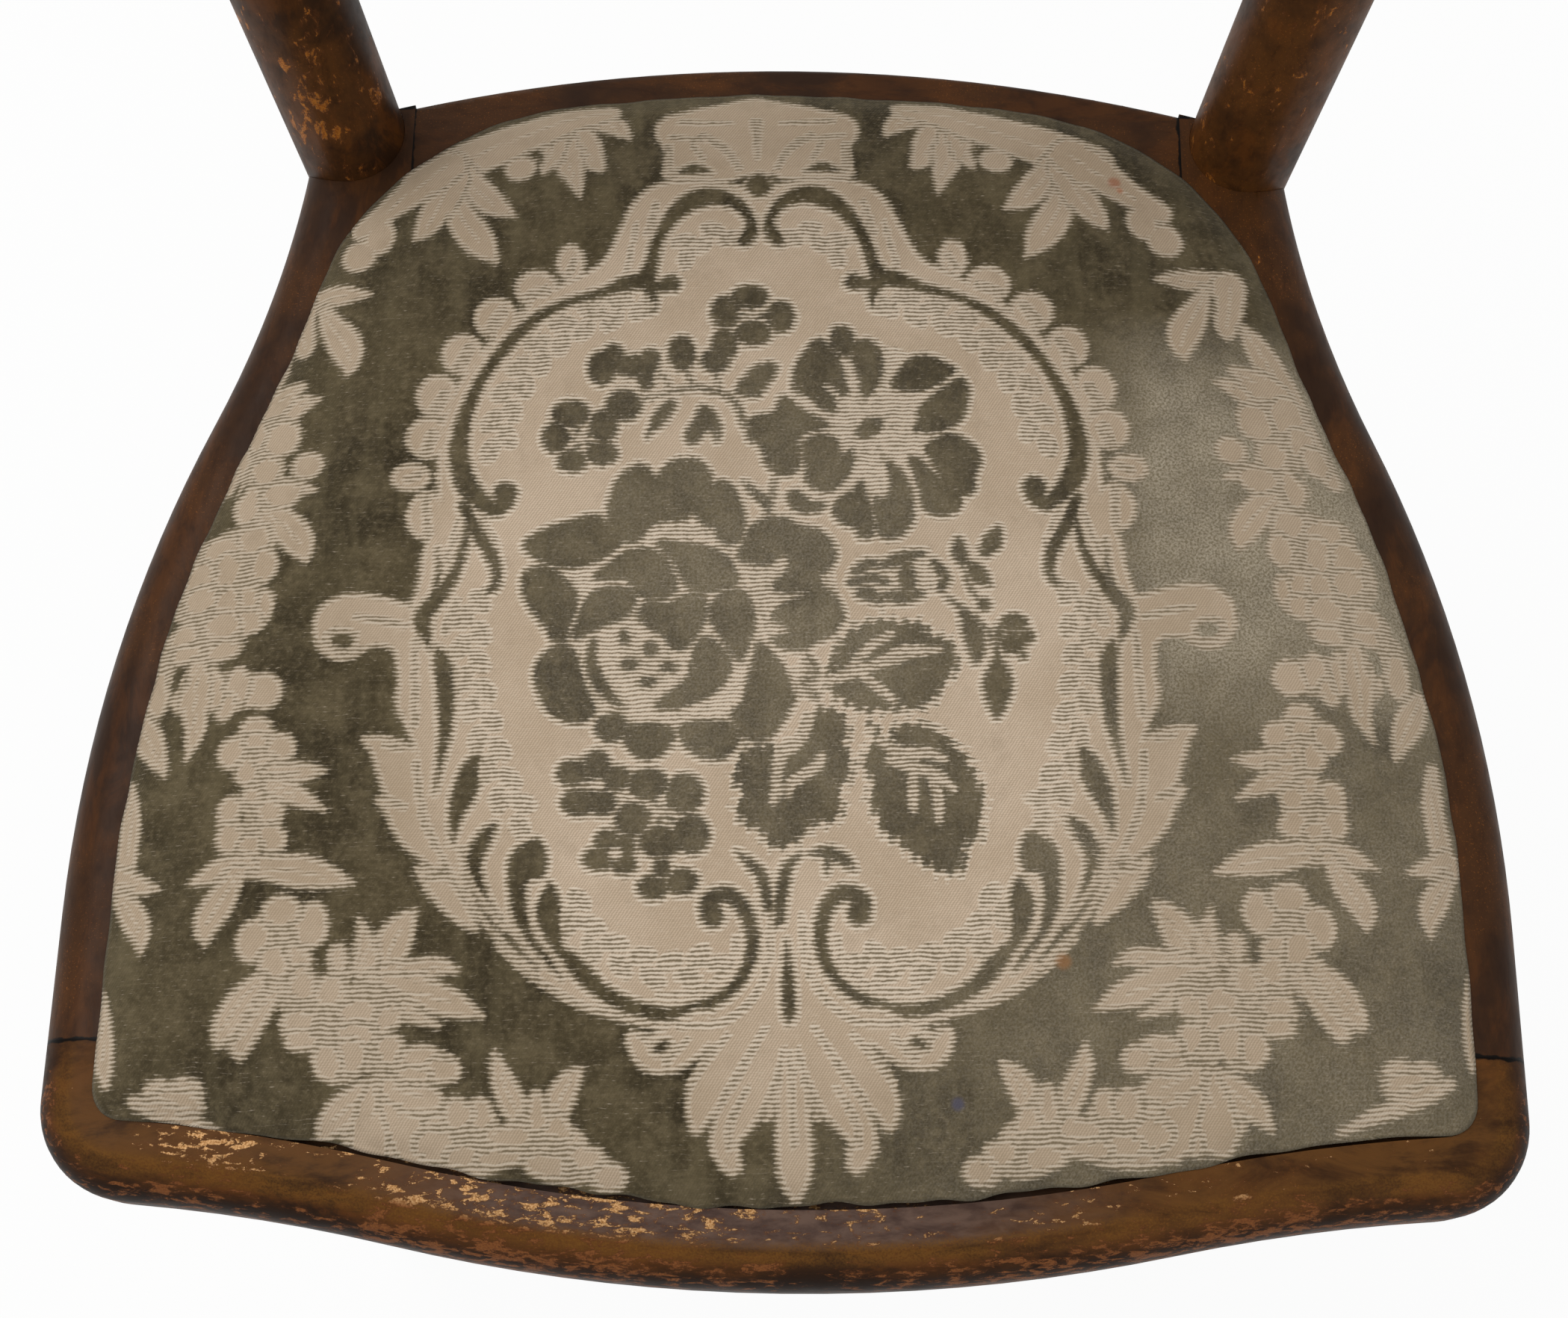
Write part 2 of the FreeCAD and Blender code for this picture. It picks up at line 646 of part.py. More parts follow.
def strap_profile(crossings, lifted):
    """Side view of a strap as (distance, height) points: it climbs over the straps that it crosses."""
    low = [(-HALF - SEAT_DEPTH, REBATE_FLOOR)]
    for middle, over in zip(crossings, lifted):
        if over:
            half = WEB_WIDTH / 2
            low.append((middle - half - WEB_RAMP, REBATE_FLOOR))
            low.append((middle - half, REBATE_FLOOR + WEB_LIFT))
            low.append((middle + half, REBATE_FLOOR + WEB_LIFT))
            low.append((middle + half + WEB_RAMP, REBATE_FLOOR))
    low.append((HALF + SEAT_DEPTH, REBATE_FLOOR))
    high = [(distance, height + WEB_THICKNESS) for distance, height in reversed(low)]
    return low + high + low[:1]


def webbing(tack_holes):
    inside = prism(rebate_outline(WEB_END), 0, 2 * SEAT_HEIGHT)
    made = {}
    for i, x in enumerate(LENGTHWISE):
        lifted = [(i + j) % 2 == 0 for j in range(len(CROSSWISE))]
        points = [V(x - WEB_WIDTH / 2, y, z) for y, z in strap_profile(CROSSWISE, lifted)]
        strap = Part.Face(Part.makePolygon(points)).extrude(V(WEB_WIDTH, 0, 0))
        made[f"webbing_lengthwise_{i + 1}"] = cut_all(strap.common(inside), tack_holes)
    for j, y in enumerate(CROSSWISE):
        lifted = [(i + j) % 2 == 1 for i in range(len(LENGTHWISE))]
        points = [V(x, y - WEB_WIDTH / 2, z) for x, z in strap_profile(LENGTHWISE, lifted)]
        strap = Part.Face(Part.makePolygon(points)).extrude(V(0, WEB_WIDTH, 0))
        made[f"webbing_crosswise_{j + 1}"] = cut_all(strap.common(inside), tack_holes)
    return made


def tack_places():
    """Three tacks in each end of each strap, following the wall of the rebate."""
    edge = WEB_END + TACK_EDGE
    places = []
    for step in (-TACK_PITCH, 0, TACK_PITCH):
        for x in LENGTHWISE:
            places.append((x + step, rebate_front(x + step) + edge))
            places.append((x + step, rebate_back(x + step) - edge))
        for y in CROSSWISE:
            width = rebate_half_width(y + step) - edge
            places.append((width, y + step))
            places.append((-width, y + step))
    return [V(x, y, REBATE_FLOOR + WEB_THICKNESS) for x, y in places]


def tack(place):
    head = rod(place, UP, TACK_HEAD, TACK_HEAD_RADIUS)
    return head.fuse(rod(place, UP * -1, TACK_LENGTH, TACK_RADIUS)).removeSplitter()


def tack_hole(place):
    return rod(place, UP * -1, TACK_LENGTH + END_GAP, TACK_RADIUS + FIT)


def pad(inset, crown):
    """Crowned pad standing on the floor of the rebate, its sides drawn in towards the top."""
    plan = rebate_outline(inset)
    sections = []
    for ring in range(PAD_RINGS + 1):
        turn = math.radians(90 * ring / PAD_RINGS)
        size = PAD_TOP + (1 - PAD_TOP) * math.cos(turn)
        rise = math.sin(turn) ** PAD_FULLNESS * crown
        sections.append(plan.scaled(size, ORIGIN).translated(V(0, 0, SEAT_HEIGHT + rise)))
    skirt = prism(plan, REBATE_FLOOR, SEAT_HEIGHT)
    return skirt.fuse(Part.makeLoft(sections, True, False)).removeSplitter()


def upholstery():
    skin = COVER_PLAY + COVER_THICKNESS
    filling = pad(skin, SEAT_CROWN - COVER_THICKNESS)
    hessian_floor = REBATE_FLOOR + WEB_LIFT + WEB_THICKNESS
    stuffing_floor = hessian_floor + HESSIAN_THICKNESS
    below = block((-REACH, REACH), (-REACH, REACH), (0, stuffing_floor))
    return {
        "seat_hessian": prism(rebate_outline(skin + COVER_PLAY), hessian_floor, stuffing_floor),
        "seat_stuffing": largest(filling.cut(below)),
        "seat_cover": largest(pad(COVER_PLAY, SEAT_CROWN).cut(filling)),
    }


def edges_along(shape, guide, height):
    """Edges of a shape at a height that follow a chain of plan edges."""
    path = Part.Compound(guide).translated(V(0, 0, height))
    found = []
    for edge in shape.Edges:
        middle = edge.valueAt((edge.FirstParameter + edge.LastParameter) / 2)
        if path.distToShape(Part.Vertex(middle))[0] < FIT / 10:
            found.append(edge)
    return found


def frame_ring():
    """The whole seat frame before it is cut at its joints: bullnose, opening and rebate."""
    right = right_half(0, 0, 0, CORNER_RADIUS, 0)[:-1]
    guide = right + [mirrored(edge) for edge in right]
    ring = prism(outline(0, 0, 0, CORNER_RADIUS, 0), RAIL_BOTTOM, SEAT_HEIGHT)
    ring = ring.makeFillet(TOP_ROUND, edges_along(ring, guide, SEAT_HEIGHT))
    ring = ring.makeFillet(UNDER_ROUND, edges_along(ring, guide, RAIL_BOTTOM))
    inner = outline(FRONT_RAIL_WIDTH, SIDE_RAIL_WIDTH, BACK_RAIL_WIDTH, INNER_CORNER, INNER_CORNER)
    ear = Part.makeBox(REACH, REACH, REACH, V(0, -REACH / 2, 0))
    ear_place = polar(LEG, LEG_TENON_RADIUS + TENON_WALL, 135)
    ear.Placement = FreeCAD.Placement(ear_place, FreeCAD.Rotation(UP, -45))
    opening = prism(inner, 0, 2 * SEAT_HEIGHT).cut([ear, mirrored(ear)])
    rebate = prism(rebate_outline(0), REBATE_FLOOR, 2 * SEAT_HEIGHT)
    return ring.cut([opening, rebate])


def seat_frame(tack_holes):
    ring = frame_ring()
    whole = (0, 2 * SEAT_HEIGHT)
    inner_radius = BACK_BOW_RADIUS - BACK_RAIL_WIDTH
    back_inner_y = BACK_CENTRE.y + math.sqrt(inner_radius ** 2 - BACK_JOINT_X ** 2)
    front_zone = block((-REACH, REACH), (-REACH, FRONT_JOINT_Y), whole)
    back_zone = block((-BACK_JOINT_X, BACK_JOINT_X), (back_inner_y, REACH), whole)
    right_zone = block((0, REACH), (FRONT_JOINT_Y, REACH), whole).cut(back_zone)

    leg_tip = V(LEG.x, LEG.y, RAIL_BOTTOM + LEG_TENON_LENGTH)
    leg_hole = mortise(leg_tip, UP * -1, 2 * LEG_TENON_LENGTH, LEG_TENON_RADIUS)
    post_start = on_post(RAIL_BOTTOM - RAIL_HEIGHT)
    post_hole = rod(post_start, POST_UP, 3 * RAIL_HEIGHT, POST_RADIUS + FIT)
    front_holes = front_dowels(END_GAP, FIT)
    back_holes = back_dowels(END_GAP, FIT)

    front_right = [leg_hole] + front_holes
    front = cut_all(ring.common(front_zone), front_right + [mirrored(hole) for hole in front_right])
    back = largest(ring.common(back_zone))
    back_edge = [arc(BACK_CENTRE, BACK_BOW_RADIUS, heading(BACK_CENTRE, REAR_CORNER), 90)]
    back_edge.append(mirrored(back_edge[0]))
    back = back.makeFillet(BACK_EDGE_ROUND, edges_along(back, back_edge, SEAT_HEIGHT))
    back_right = [post_hole] + back_holes
    back = cut_all(back, back_right + [mirrored(hole) for hole in back_right])
    right = cut_all(ring.common(right_zone), [post_hole] + front_holes + back_holes + screw_holes())
    return {
        "seat_front_rail": cut_all(front, tack_holes),
        "seat_back_rail": cut_all(back, tack_holes),
        "seat_side_rail_right": cut_all(right, tack_holes),
        "seat_side_rail_left": cut_all(mirrored(right), tack_holes),
    }


def both_sides(shapes):
    return Part.Compound(shapes + [mirrored(shape) for shape in shapes])


def chair():
    """Every piece of the chair by name. The mortises are known once all rails and stretchers are made."""
    tacks = tack_places()
    tack_holes = [tack_hole(place) for place in tacks]
    pieces = seat_frame(tack_holes)
    pieces.update(side_stretchers())
    pieces.update(cross_stretchers())
    pieces.update(chair_back())
    leg = front_leg()
    post, plug = post_and_plug()
    pieces.update({
        "front_leg_right": leg,
        "front_leg_left": mirrored(leg),
        "rear_post_right": post,
        "rear_post_left": mirrored(post),
        "post_screws": both_sides([post_screw()]),
        "post_screw_plugs": both_sides([plug]),
        "front_joint_dowels": both_sides(front_dowels()),
        "back_joint_dowels": both_sides(back_dowels()),
        "webbing_tacks": Part.Compound([tack(place) for place in tacks]),
    })
    pieces.update(webbing(tack_holes))
    pieces.update(upholstery())
    return pieces


def main():
    pieces = chair()
    box = Part.Compound(list(pieces.values())).optimalBoundingBox()
    to_origin = V(-box.Center.x, -box.Center.y, -box.ZMin)
    os.makedirs("parts", exist_ok=True)
    for name, shape in pieces.items():
        shape.translated(to_origin).exportStep(f"parts/{name}.step")
    print(f"{len(pieces)} pieces, {box.XLength:.1f} x {box.YLength:.1f} x {box.ZLength:.1f} mm")
    print(f"moved {to_origin.y:.3f} mm along Y to stand over the origin")


main()
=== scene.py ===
# %% [markdown]
# # A worn gilt chiavari chair with a cut-velvet seat
# The chair's wooden frame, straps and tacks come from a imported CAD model, which is loaded first and stays
# where it is. This script gives each piece its surface, and models what a CAD solid cannot show: the
# figured velvet of the seat, its padding, and the woven straps and cloth underneath.

# %% Load the frame
import math

import bpy
import numpy as np
from mathutils import Matrix, Vector
from mathutils.bvhtree import BVHTree


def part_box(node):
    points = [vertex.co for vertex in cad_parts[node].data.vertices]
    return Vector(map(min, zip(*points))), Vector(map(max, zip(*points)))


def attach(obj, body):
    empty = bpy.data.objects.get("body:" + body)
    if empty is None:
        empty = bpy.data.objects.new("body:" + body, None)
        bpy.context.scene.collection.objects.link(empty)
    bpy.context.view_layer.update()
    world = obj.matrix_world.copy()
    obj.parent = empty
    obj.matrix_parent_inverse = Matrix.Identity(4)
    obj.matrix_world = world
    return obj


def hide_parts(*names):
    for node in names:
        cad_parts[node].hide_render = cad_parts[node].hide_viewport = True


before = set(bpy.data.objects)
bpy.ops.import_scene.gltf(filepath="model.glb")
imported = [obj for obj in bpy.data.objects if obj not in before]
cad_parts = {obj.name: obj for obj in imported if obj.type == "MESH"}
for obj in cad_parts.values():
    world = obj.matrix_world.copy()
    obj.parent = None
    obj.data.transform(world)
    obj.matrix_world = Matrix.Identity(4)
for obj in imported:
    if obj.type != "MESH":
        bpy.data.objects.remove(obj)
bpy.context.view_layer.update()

scene = bpy.context.scene
print(len(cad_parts), "pieces in the frame")

# %% [markdown]
# ## Camera
# The photo looks steeply down on the seat from in front. An elevation of 72 degrees hides the legs behind
# the front rail and leaves the upper back out of the picture. The eye and the three directions were
# worked out from the outline of the seat frame, so the camera is given as a matrix: right, up and
# backward are its columns.

# %% Place the camera
SENSOR_MM, LENS_MM = 36, 51.453
EYE = Vector((0.00042, -0.23877, 1.07721))
RIGHT = Vector((0.99991, 0.01308, 0.00075))
UP = Vector((-0.01267, 0.95097, 0.30902))
camera = bpy.data.objects.new("camera", bpy.data.cameras.new("camera"))
camera.data.sensor_fit = "HORIZONTAL"
camera.data.sensor_width = SENSOR_MM
camera.data.lens = LENS_MM
turned = Matrix((RIGHT, UP, RIGHT.cross(UP))).transposed().to_4x4()
camera.matrix_world = Matrix.Translation(EYE) @ turned
scene.collection.objects.link(camera)
scene.camera = camera
print("camera", round(EYE.z, 3), "m above the floor")

# %% [markdown]
# ## Colours and nodes
# A picked colour is sRGB, but a shader counts in linear light, so every hex code goes through one
# function. A material is a tree of nodes. Building it by hand is slow to read, so one small function adds
# a node: it sets the node's own settings and then fills its sockets in the order in which the node shows
# them, with a number, a colour code or the output of an earlier node.

# %% Colours and nodes
def linear(code):
    """A colour written as sRGB hex, as the linear values that shaders use."""
    parts = [int(code[i:i + 2], 16) / 255 for i in (1, 3, 5)]
    return tuple(x / 12.92 if x <= 0.04045 else ((x + 0.055) / 1.055) ** 2.4 for x in parts) + (1.0,)


def plug(tree, socket, value):
    """Links an output to a socket, or sets the socket to a number, a vector or a colour code."""
    if isinstance(value, bpy.types.NodeSocket):
        tree.links.new(value, socket)
    elif value is not None:
        socket.default_value = linear(value) if isinstance(value, str) else value


def node(tree, kind, *values, output=0, **settings):
    """Adds a node with its settings, fills its sockets in order and gives back one output.

    None leaves a socket as it is.
    """
    made = tree.nodes.new("ShaderNode" + kind)
    for name, value in settings.items():
        setattr(made, name, value)
    for socket, value in zip([s for s in made.inputs if s.enabled], values):
        plug(tree, socket, value)
    if isinstance(output, str):
        return made.outputs[output]
    return [s for s in made.outputs if s.enabled][output]


def material(name):
    """A new material, its tree and its Principled shader."""
    made = bpy.data.materials.new(name)
    made.use_nodes = True
    tree = made.node_tree
    return made, tree, tree.nodes["Principled BSDF"]


def surface(tree, shader, sockets):
    """Plugs values into named sockets of a Principled shader."""
    for name, value in sockets.items():
        plug(tree, shader.inputs[name], value)


SOFT = {"interpolation_type": "SMOOTHSTEP"}
COLOUR = {"data_type": "RGBA"}
TIMES = {"operation": "MULTIPLY"}
TIMES_PLUS = {"operation": "MULTIPLY_ADD"}
print("mid grey is", round(linear("#808080")[0], 3), "in linear light")

# %% [markdown]
# ## Light and floor
# The chair was photographed under even, soft light on pure white. One large lamp, high above
# the left of the seat, gives the faint shading, a weak one fills from the front right, and a pale sky
# does the rest. The floor stays a real surface that takes a shadow, but the camera sees it lit from
# within, so it reads as white paper. Seen from below it is clear, so that the underside of the seat can
# be looked at.

# %% Light and sky
SKY_LIGHT, SKY_SEEN = 0.6, 1.0
SEAT_MIDDLE = Vector((0, 0, 0.45))
world = bpy.data.worlds.new("soft white sky")
world.use_nodes = True
tree = world.node_tree
sky = tree.nodes["Background"]
seen = node(tree, "LightPath", output="Is Camera Ray")
plug(tree, sky.inputs["Color"], "#ffffff")
plug(tree, sky.inputs["Strength"], node(tree, "MapRange", seen, 0, 1, SKY_LIGHT, SKY_SEEN, **SOFT))
scene.world = world
scene.view_settings.view_transform = "Standard"
for name, place, size, power in [
    ("large soft lamp", (-0.9, 0.3, 2.3), 1.6, 20),
    ("front fill", (0.8, -1.8, 1.7), 1.8, 3),
]:
    lamp = bpy.data.lights.new(name, "AREA")
    lamp.size = size
    lamp.energy = power
    lamp_object = bpy.data.objects.new(name, lamp)
    lamp_object.location = place
    lamp_object.rotation_euler = (SEAT_MIDDLE - Vector(place)).to_track_quat("-Z", "Y").to_euler()
    scene.collection.objects.link(lamp_object)
    print(name, power, "W")

# %% Floor
FLOOR_HALF = 30
GLOW_SHARE = 0.93
floor_mesh = bpy.data.meshes.new("floor")
corners = [(FLOOR_HALF * x, FLOOR_HALF * y, 0) for x, y in ((-1, -1), (1, -1), (1, 1), (-1, 1))]
floor_mesh.from_pydata(corners, [], [(0, 1, 2, 3)])
floor = bpy.data.objects.new("floor", floor_mesh)
scene.collection.objects.link(floor)
paper, tree, shader = material("matt white paper")
surface(tree, shader, {"Base Color": "#f4f4f2", "Roughness": 0.9})
glow = node(tree, "Emission", "#ffffff", 1.0)
share = node(tree, "Math", node(tree, "LightPath", output="Is Camera Ray"), GLOW_SHARE, **TIMES)
lit = node(tree, "MixShader", share, shader.outputs[0], glow)
below = node(tree, "NewGeometry", output="Backfacing")
paper_or_clear = node(tree, "MixShader", below, lit, node(tree, "BsdfTransparent"))
plug(tree, tree.nodes["Material Output"].inputs["Surface"], paper_or_clear)
floor_mesh.materials.append(paper)
print("white floor,", 2 * FLOOR_HALF, "m wide")

# %% [markdown]
# ## Worn gilding
# The frame is beech, covered with red-brown bole and bronze-gold leaf, then varnished dark. After a
# hundred years the leaf survives as flakes that run along each piece. Painting each flake would never
# end, so a noise stretched along the wood is cut at a level: above it there is leaf. A coarse noise moves
# that level up and down, so flakes gather in patches. The same noises mottle the varnish. The varnish is
# satin, so it gets a weak clear coat. On the front rail light falls on the crest beside the velvet: there
# the flakes are small and pale, the wood is bared to grey in the middle, a painted ochre highlight runs
# along the roll below, broken up by grime and dust, and the underside keeps red-brown islands on a
# painted near-black shade.

# %% Gilded wood
# Sizes of the patterns in mm: patches of wear, blots of grime, grain, flakes of leaf, specks of dust
PATCH, GRIME, GRAIN, FLAKE, CREST_FLAKE, DUST = 38.462, 11.111, 3.8462, 4.1667, 2.1739, 0.58824
LEAF_LEVEL = 0.845


def crest_wood(tree, wood, where, facing, grain, grime, dust):
    """The front rail's wood: bared to grey on its crest, ochre below it, near black underneath.

    The ochre is a painted highlight along the roll, and the near black is painted shade.
    """
    x = node(tree, "SeparateXYZ", where, output="X")
    y = node(tree, "SeparateXYZ", where, output="Y")
    top = node(tree, "MapRange", facing, 0.93, 0.998, **SOFT)
    from_left = node(tree, "MapRange", x, -0.13, -0.06, **SOFT)
    to_right = node(tree, "MapRange", x, 0.03, 0.11, 1, 0, **SOFT)
    bared = node(tree, "Math", top, node(tree, "Math", from_left, to_right, **TIMES), **TIMES)
    grey = node(tree, "Mix", node(tree, "MapRange", grain, 0.3, 0.7, **SOFT), "#44332d", "#655045", **COLOUR)
    blots = node(tree, "MapRange", grime, 0.38, 0.6, 0.1, 0.75, **SOFT)
    # Painted highlight: an ochre stripe along the roll of the rail, faded on the top and broken up by grime
    # and dust
    painted_highlight = node(tree, "MapRange", facing, 0.74, 0.9, **SOFT)
    for fade in [
        node(tree, "MapRange", facing, 0.965, 0.999, 1, 0, **SOFT),
        node(tree, "MapRange", grime, 0.36, 0.6, 0.25, 1.0, **SOFT),
        node(tree, "MapRange", dust, 0.35, 0.6, 0.25, 0.7, **SOFT),
    ]:
        painted_highlight = node(tree, "Math", painted_highlight, fade, **TIMES)
    primer = wood
    for share, tint in [
        (node(tree, "Math", top, blots, **TIMES), "#61401f"),
        (bared, grey),
        # Painted shade: near black on the sides and underneath, darker the less the surface faces up
        (node(tree, "MapRange", facing, 0.45, 0.88, 0.9, 0, **SOFT), "#1d1008"),
        (painted_highlight, "#6f4a1e"),
        (node(tree, "MapRange", y, -0.175, -0.13, **SOFT), wood),
    ]:
        primer = node(tree, "Mix", share, primer, tint, **COLOUR)
    return primer


def crest_level(tree, level, where, facing):
    """Keeps more leaf on the left of the front rail's crest and underneath, and less near the joints."""
    x = node(tree, "SeparateXYZ", where, output="X")
    y = node(tree, "SeparateXYZ", where, output="Y")
    left = node(tree, "MapRange", x, 0.02, 0.13, 1, 0, **SOFT)
    for part in [(x, -0.21, -0.16), (facing, 0.9, 0.99)]:
        left = node(tree, "Math", left, node(tree, "MapRange", *part, **SOFT), **TIMES)
    level = node(tree, "Math", left, 0.08, level, **TIMES_PLUS)
    level = node(tree, "Math", level, node(tree, "MapRange", facing, 0.76, 0.95, 0.1, 0.0, **SOFT))
    return node(tree, "Math", level, node(tree, "MapRange", y, -0.165, -0.14, 0, -0.25, **SOFT))


def gilded(name, stretch, survival, mottle=1.0, crest=False):
    """Varnished wood with leaf left in flakes; a stretch under 1 draws the flakes out along that axis."""
    made, tree, shader = material(name)
    where = node(tree, "TexCoord", output="Object")
    drawn_out = node(tree, "Mapping", where, None, None, stretch)
    facing = node(tree, "SeparateXYZ", node(tree, "NewGeometry", output="Normal"), output="Z")
    patches = node(tree, "TexNoise", where, 1000 / PATCH, 5, 0.62)
    grime = node(tree, "TexNoise", drawn_out, 1000 / GRIME, 7, 0.7, None, 0.4)
    grain = node(tree, "TexNoise", drawn_out, 1000 / GRAIN, 6, 0.65, None, 0.3)
    flakes = node(tree, "TexNoise", drawn_out, 1000 / (CREST_FLAKE if crest else FLAKE), 8, 0.68, None, 0.4)
    dust = node(tree, "TexNoise", where, 1000 / DUST, 3, 0.6)
    # Dark varnish, mottled brown and black, with orange specks in the worn patches and fine dark grain
    specks = node(tree, "MapRange", dust, 0.6, 0.68, 0, 0.6, **SOFT)
    specks = node(tree, "Math", specks, node(tree, "MapRange", patches, 0.45, 0.6, **SOFT), **TIMES)
    wood = "#321f12"
    for share, tint in [
        (node(tree, "MapRange", patches, 0.36, 0.62, 0, mottle, **SOFT), "#573518"),
        (node(tree, "MapRange", grime, 0.48, 0.64, 0, 0.55 * mottle, **SOFT), "#673b17"),
        (node(tree, "MapRange", grime, 0.3, 0.46, 0.7 * mottle, 0, **SOFT), "#25160d"),
        (specks, "#8a5220"),
        (node(tree, "MapRange", grain, 0.45, 0.8, 0, 0.55, **SOFT), "#24130a"),
    ]:
        wood = node(tree, "Mix", share, wood, tint, **COLOUR)
    # Where leaf is left, and the red-brown bole that shows as a rim round it
    level = node(tree, "Math", patches, 0.5, flakes, **TIMES_PLUS)
    level = node(tree, "Math", dust, 0.05, level, **TIMES_PLUS)
    if crest:
        level = crest_level(tree, level, where, facing)
        wood = crest_wood(tree, wood, where, facing, grain, grime, dust)
    kept = LEAF_LEVEL - survival
    leaf = node(tree, "MapRange", level, kept, kept + (0.03 if crest else 0.06), **SOFT)
    rim = node(tree, "MapRange", level, kept - 0.06, kept + 0.005, 0, 0.5, **SOFT)
    wood = node(tree, "Mix", rim, wood, "#5c351b", **COLOUR)
    # Leaf is bronze gold; on the front rail it is pale on the crest and red-brown lower down
    lights = node(tree, "MapRange", dust, 0.35, 0.65, **SOFT)
    leaf_colour = node(tree, "Mix", lights, "#8a4c1f", "#b8772f", **COLOUR)
    shine = 0.3
    if crest:
        pale = node(tree, "Mix", lights, "#8e6236", "#c79c6c", **COLOUR)
        share = node(tree, "MapRange", dust, 0.4, 0.6, **SOFT)
        red = node(tree, "Mix", share, "#6b3f22", "#7d4d29", **COLOUR)
        share = node(tree, "MapRange", facing, 0.94, 0.998, **SOFT)
        leaf_colour = node(tree, "Mix", share, red, pale, **COLOUR)
        top = node(tree, "MapRange", facing, 0.93, 0.998, **SOFT)
        shine = node(tree, "MapRange", top, 0, 1, 0.05, 0.35, **SOFT)
    height = node(tree, "Math", leaf, 0.7, node(tree, "Math", grain, 0.35, **TIMES), **TIMES_PLUS)
    surface(tree, shader, {
        "Base Color": node(tree, "Mix", leaf, wood, leaf_colour, **COLOUR),
        "Metallic": node(tree, "Math", leaf, shine, **TIMES),
        "Roughness": node(tree, "MapRange", grain, 0.2, 0.8, 0.36, 0.52, **SOFT),
        "Specular IOR Level": 0.06 if crest else 0.1,
        "Coat Weight": 0.005 if crest else 0.012,
        "Coat Roughness": 0.3,
        "Normal": node(tree, "Bump", 0.55, 0.0003, None, height),
    })
    return made


front_finish = gilded("worn gilding on the front rail", (0.4, 1, 1), -0.07, crest=True)
side_finish = gilded("worn gilding on the side rails", (1, 0.35, 1), -0.14, mottle=0.5)
back_finish = gilded("worn gilding on the back rail", (0.35, 1, 1), -0.2, mottle=0.5)
left_post_finish = gilded("worn gilding on the left post", (1, 1, 0.4), -0.02)
upright_finish = gilded("worn gilding on upright turned pieces", (1, 1, 0.5), -0.07)
across_finish = gilded("worn gilding on level turned pieces", (0.5, 1, 1), -0.06)
print(len(bpy.data.materials), "materials so far")

# %% [markdown]
# ## Joints of the rails
# Where two rails meet, a dark line of dirt fills the joint. The rails are separate pieces already, but
# they fit so closely that the line would not show. The line is added to the finish on both sides of the
# joint: it is dark where the distance from the joint is small, and two noises make it wander and fray.

# %% Joint lines
JOINT_LINE = 0.0009
WANDER_MM, FRAY_MM = 8.3333, 3.3333


def joint_line(finish, axis, place, width):
    """Darkens a thin line where two rails meet, at a distance to both sides along one axis."""
    tree = finish.node_tree
    socket = tree.nodes["Principled BSDF"].inputs["Base Color"]
    whole = socket.links[0].from_socket
    where = node(tree, "TexCoord", output="Object")
    aside = node(tree, "Math", node(tree, "SeparateXYZ", where, output=axis), operation="ABSOLUTE")
    wander = node(tree, "TexNoise", where, 1000 / WANDER_MM, 3)
    fray = node(tree, "TexNoise", where, 1000 / FRAY_MM, 3)
    aside = node(tree, "Math", wander, 3 * width, aside, **TIMES_PLUS)
    away = node(tree, "Math", aside, place + 1.5 * width, operation="SUBTRACT")
    away = node(tree, "Math", away, operation="ABSOLUTE")
    away = node(tree, "Math", fray, 1.4 * width, away, **TIMES_PLUS)
    dark = node(tree, "MapRange", away, 1.1 * width, 1.7 * width, 1, 0, **SOFT)
    plug(tree, socket, node(tree, "Mix", dark, whole, "#0c0704", **COLOUR))


front_joint = -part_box("seat_side_rail_left")[0][1]
back_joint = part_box("seat_back_rail")[1][0]
for finish, axis, place in [
    (front_finish, "Y", front_joint),
    (side_finish, "Y", front_joint),
    (back_finish, "X", back_joint),
]:
    joint_line(finish, axis, place, JOINT_LINE)
print("rails meet", round(1000 * front_joint), "mm in front and", round(1000 * back_joint), "mm to each side")

# %% Dress the wood
def dress(finish, *starts):
    """Gives every CAD node whose name starts so this finish."""
    count = 0
    for name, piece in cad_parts.items():
        if name.startswith(starts):
            piece.data.materials.clear()
            piece.data.materials.append(finish)
            count += 1
    print(count, "pieces in", finish.name)


dress(front_finish, "seat_front_rail")
dress(side_finish, "seat_side_rail", "side_stretcher")
dress(back_finish, "seat_back_rail")
dress(left_post_finish, "rear_post_left")
dress(upright_finish, "rear_post_right", "front_leg", "back_spindle", "gallery_spindle", "post_screw_plugs")
dress(across_finish, "front_stretcher", "rear_stretcher", "crest_rail", "upper_back_rail", "lower_back_rail")

# %% [markdown]
# ## Bare beech and blued steel
# The dowels are unfinished beech: pale, with short dark flecks along the grain. Tacks and screws are
# blued steel, so they are metal with uneven roughness and a little rust. One noise drives each of them,
# read along the grain for the wood and evenly for the rust, because what colours a speck also makes it
# rougher.

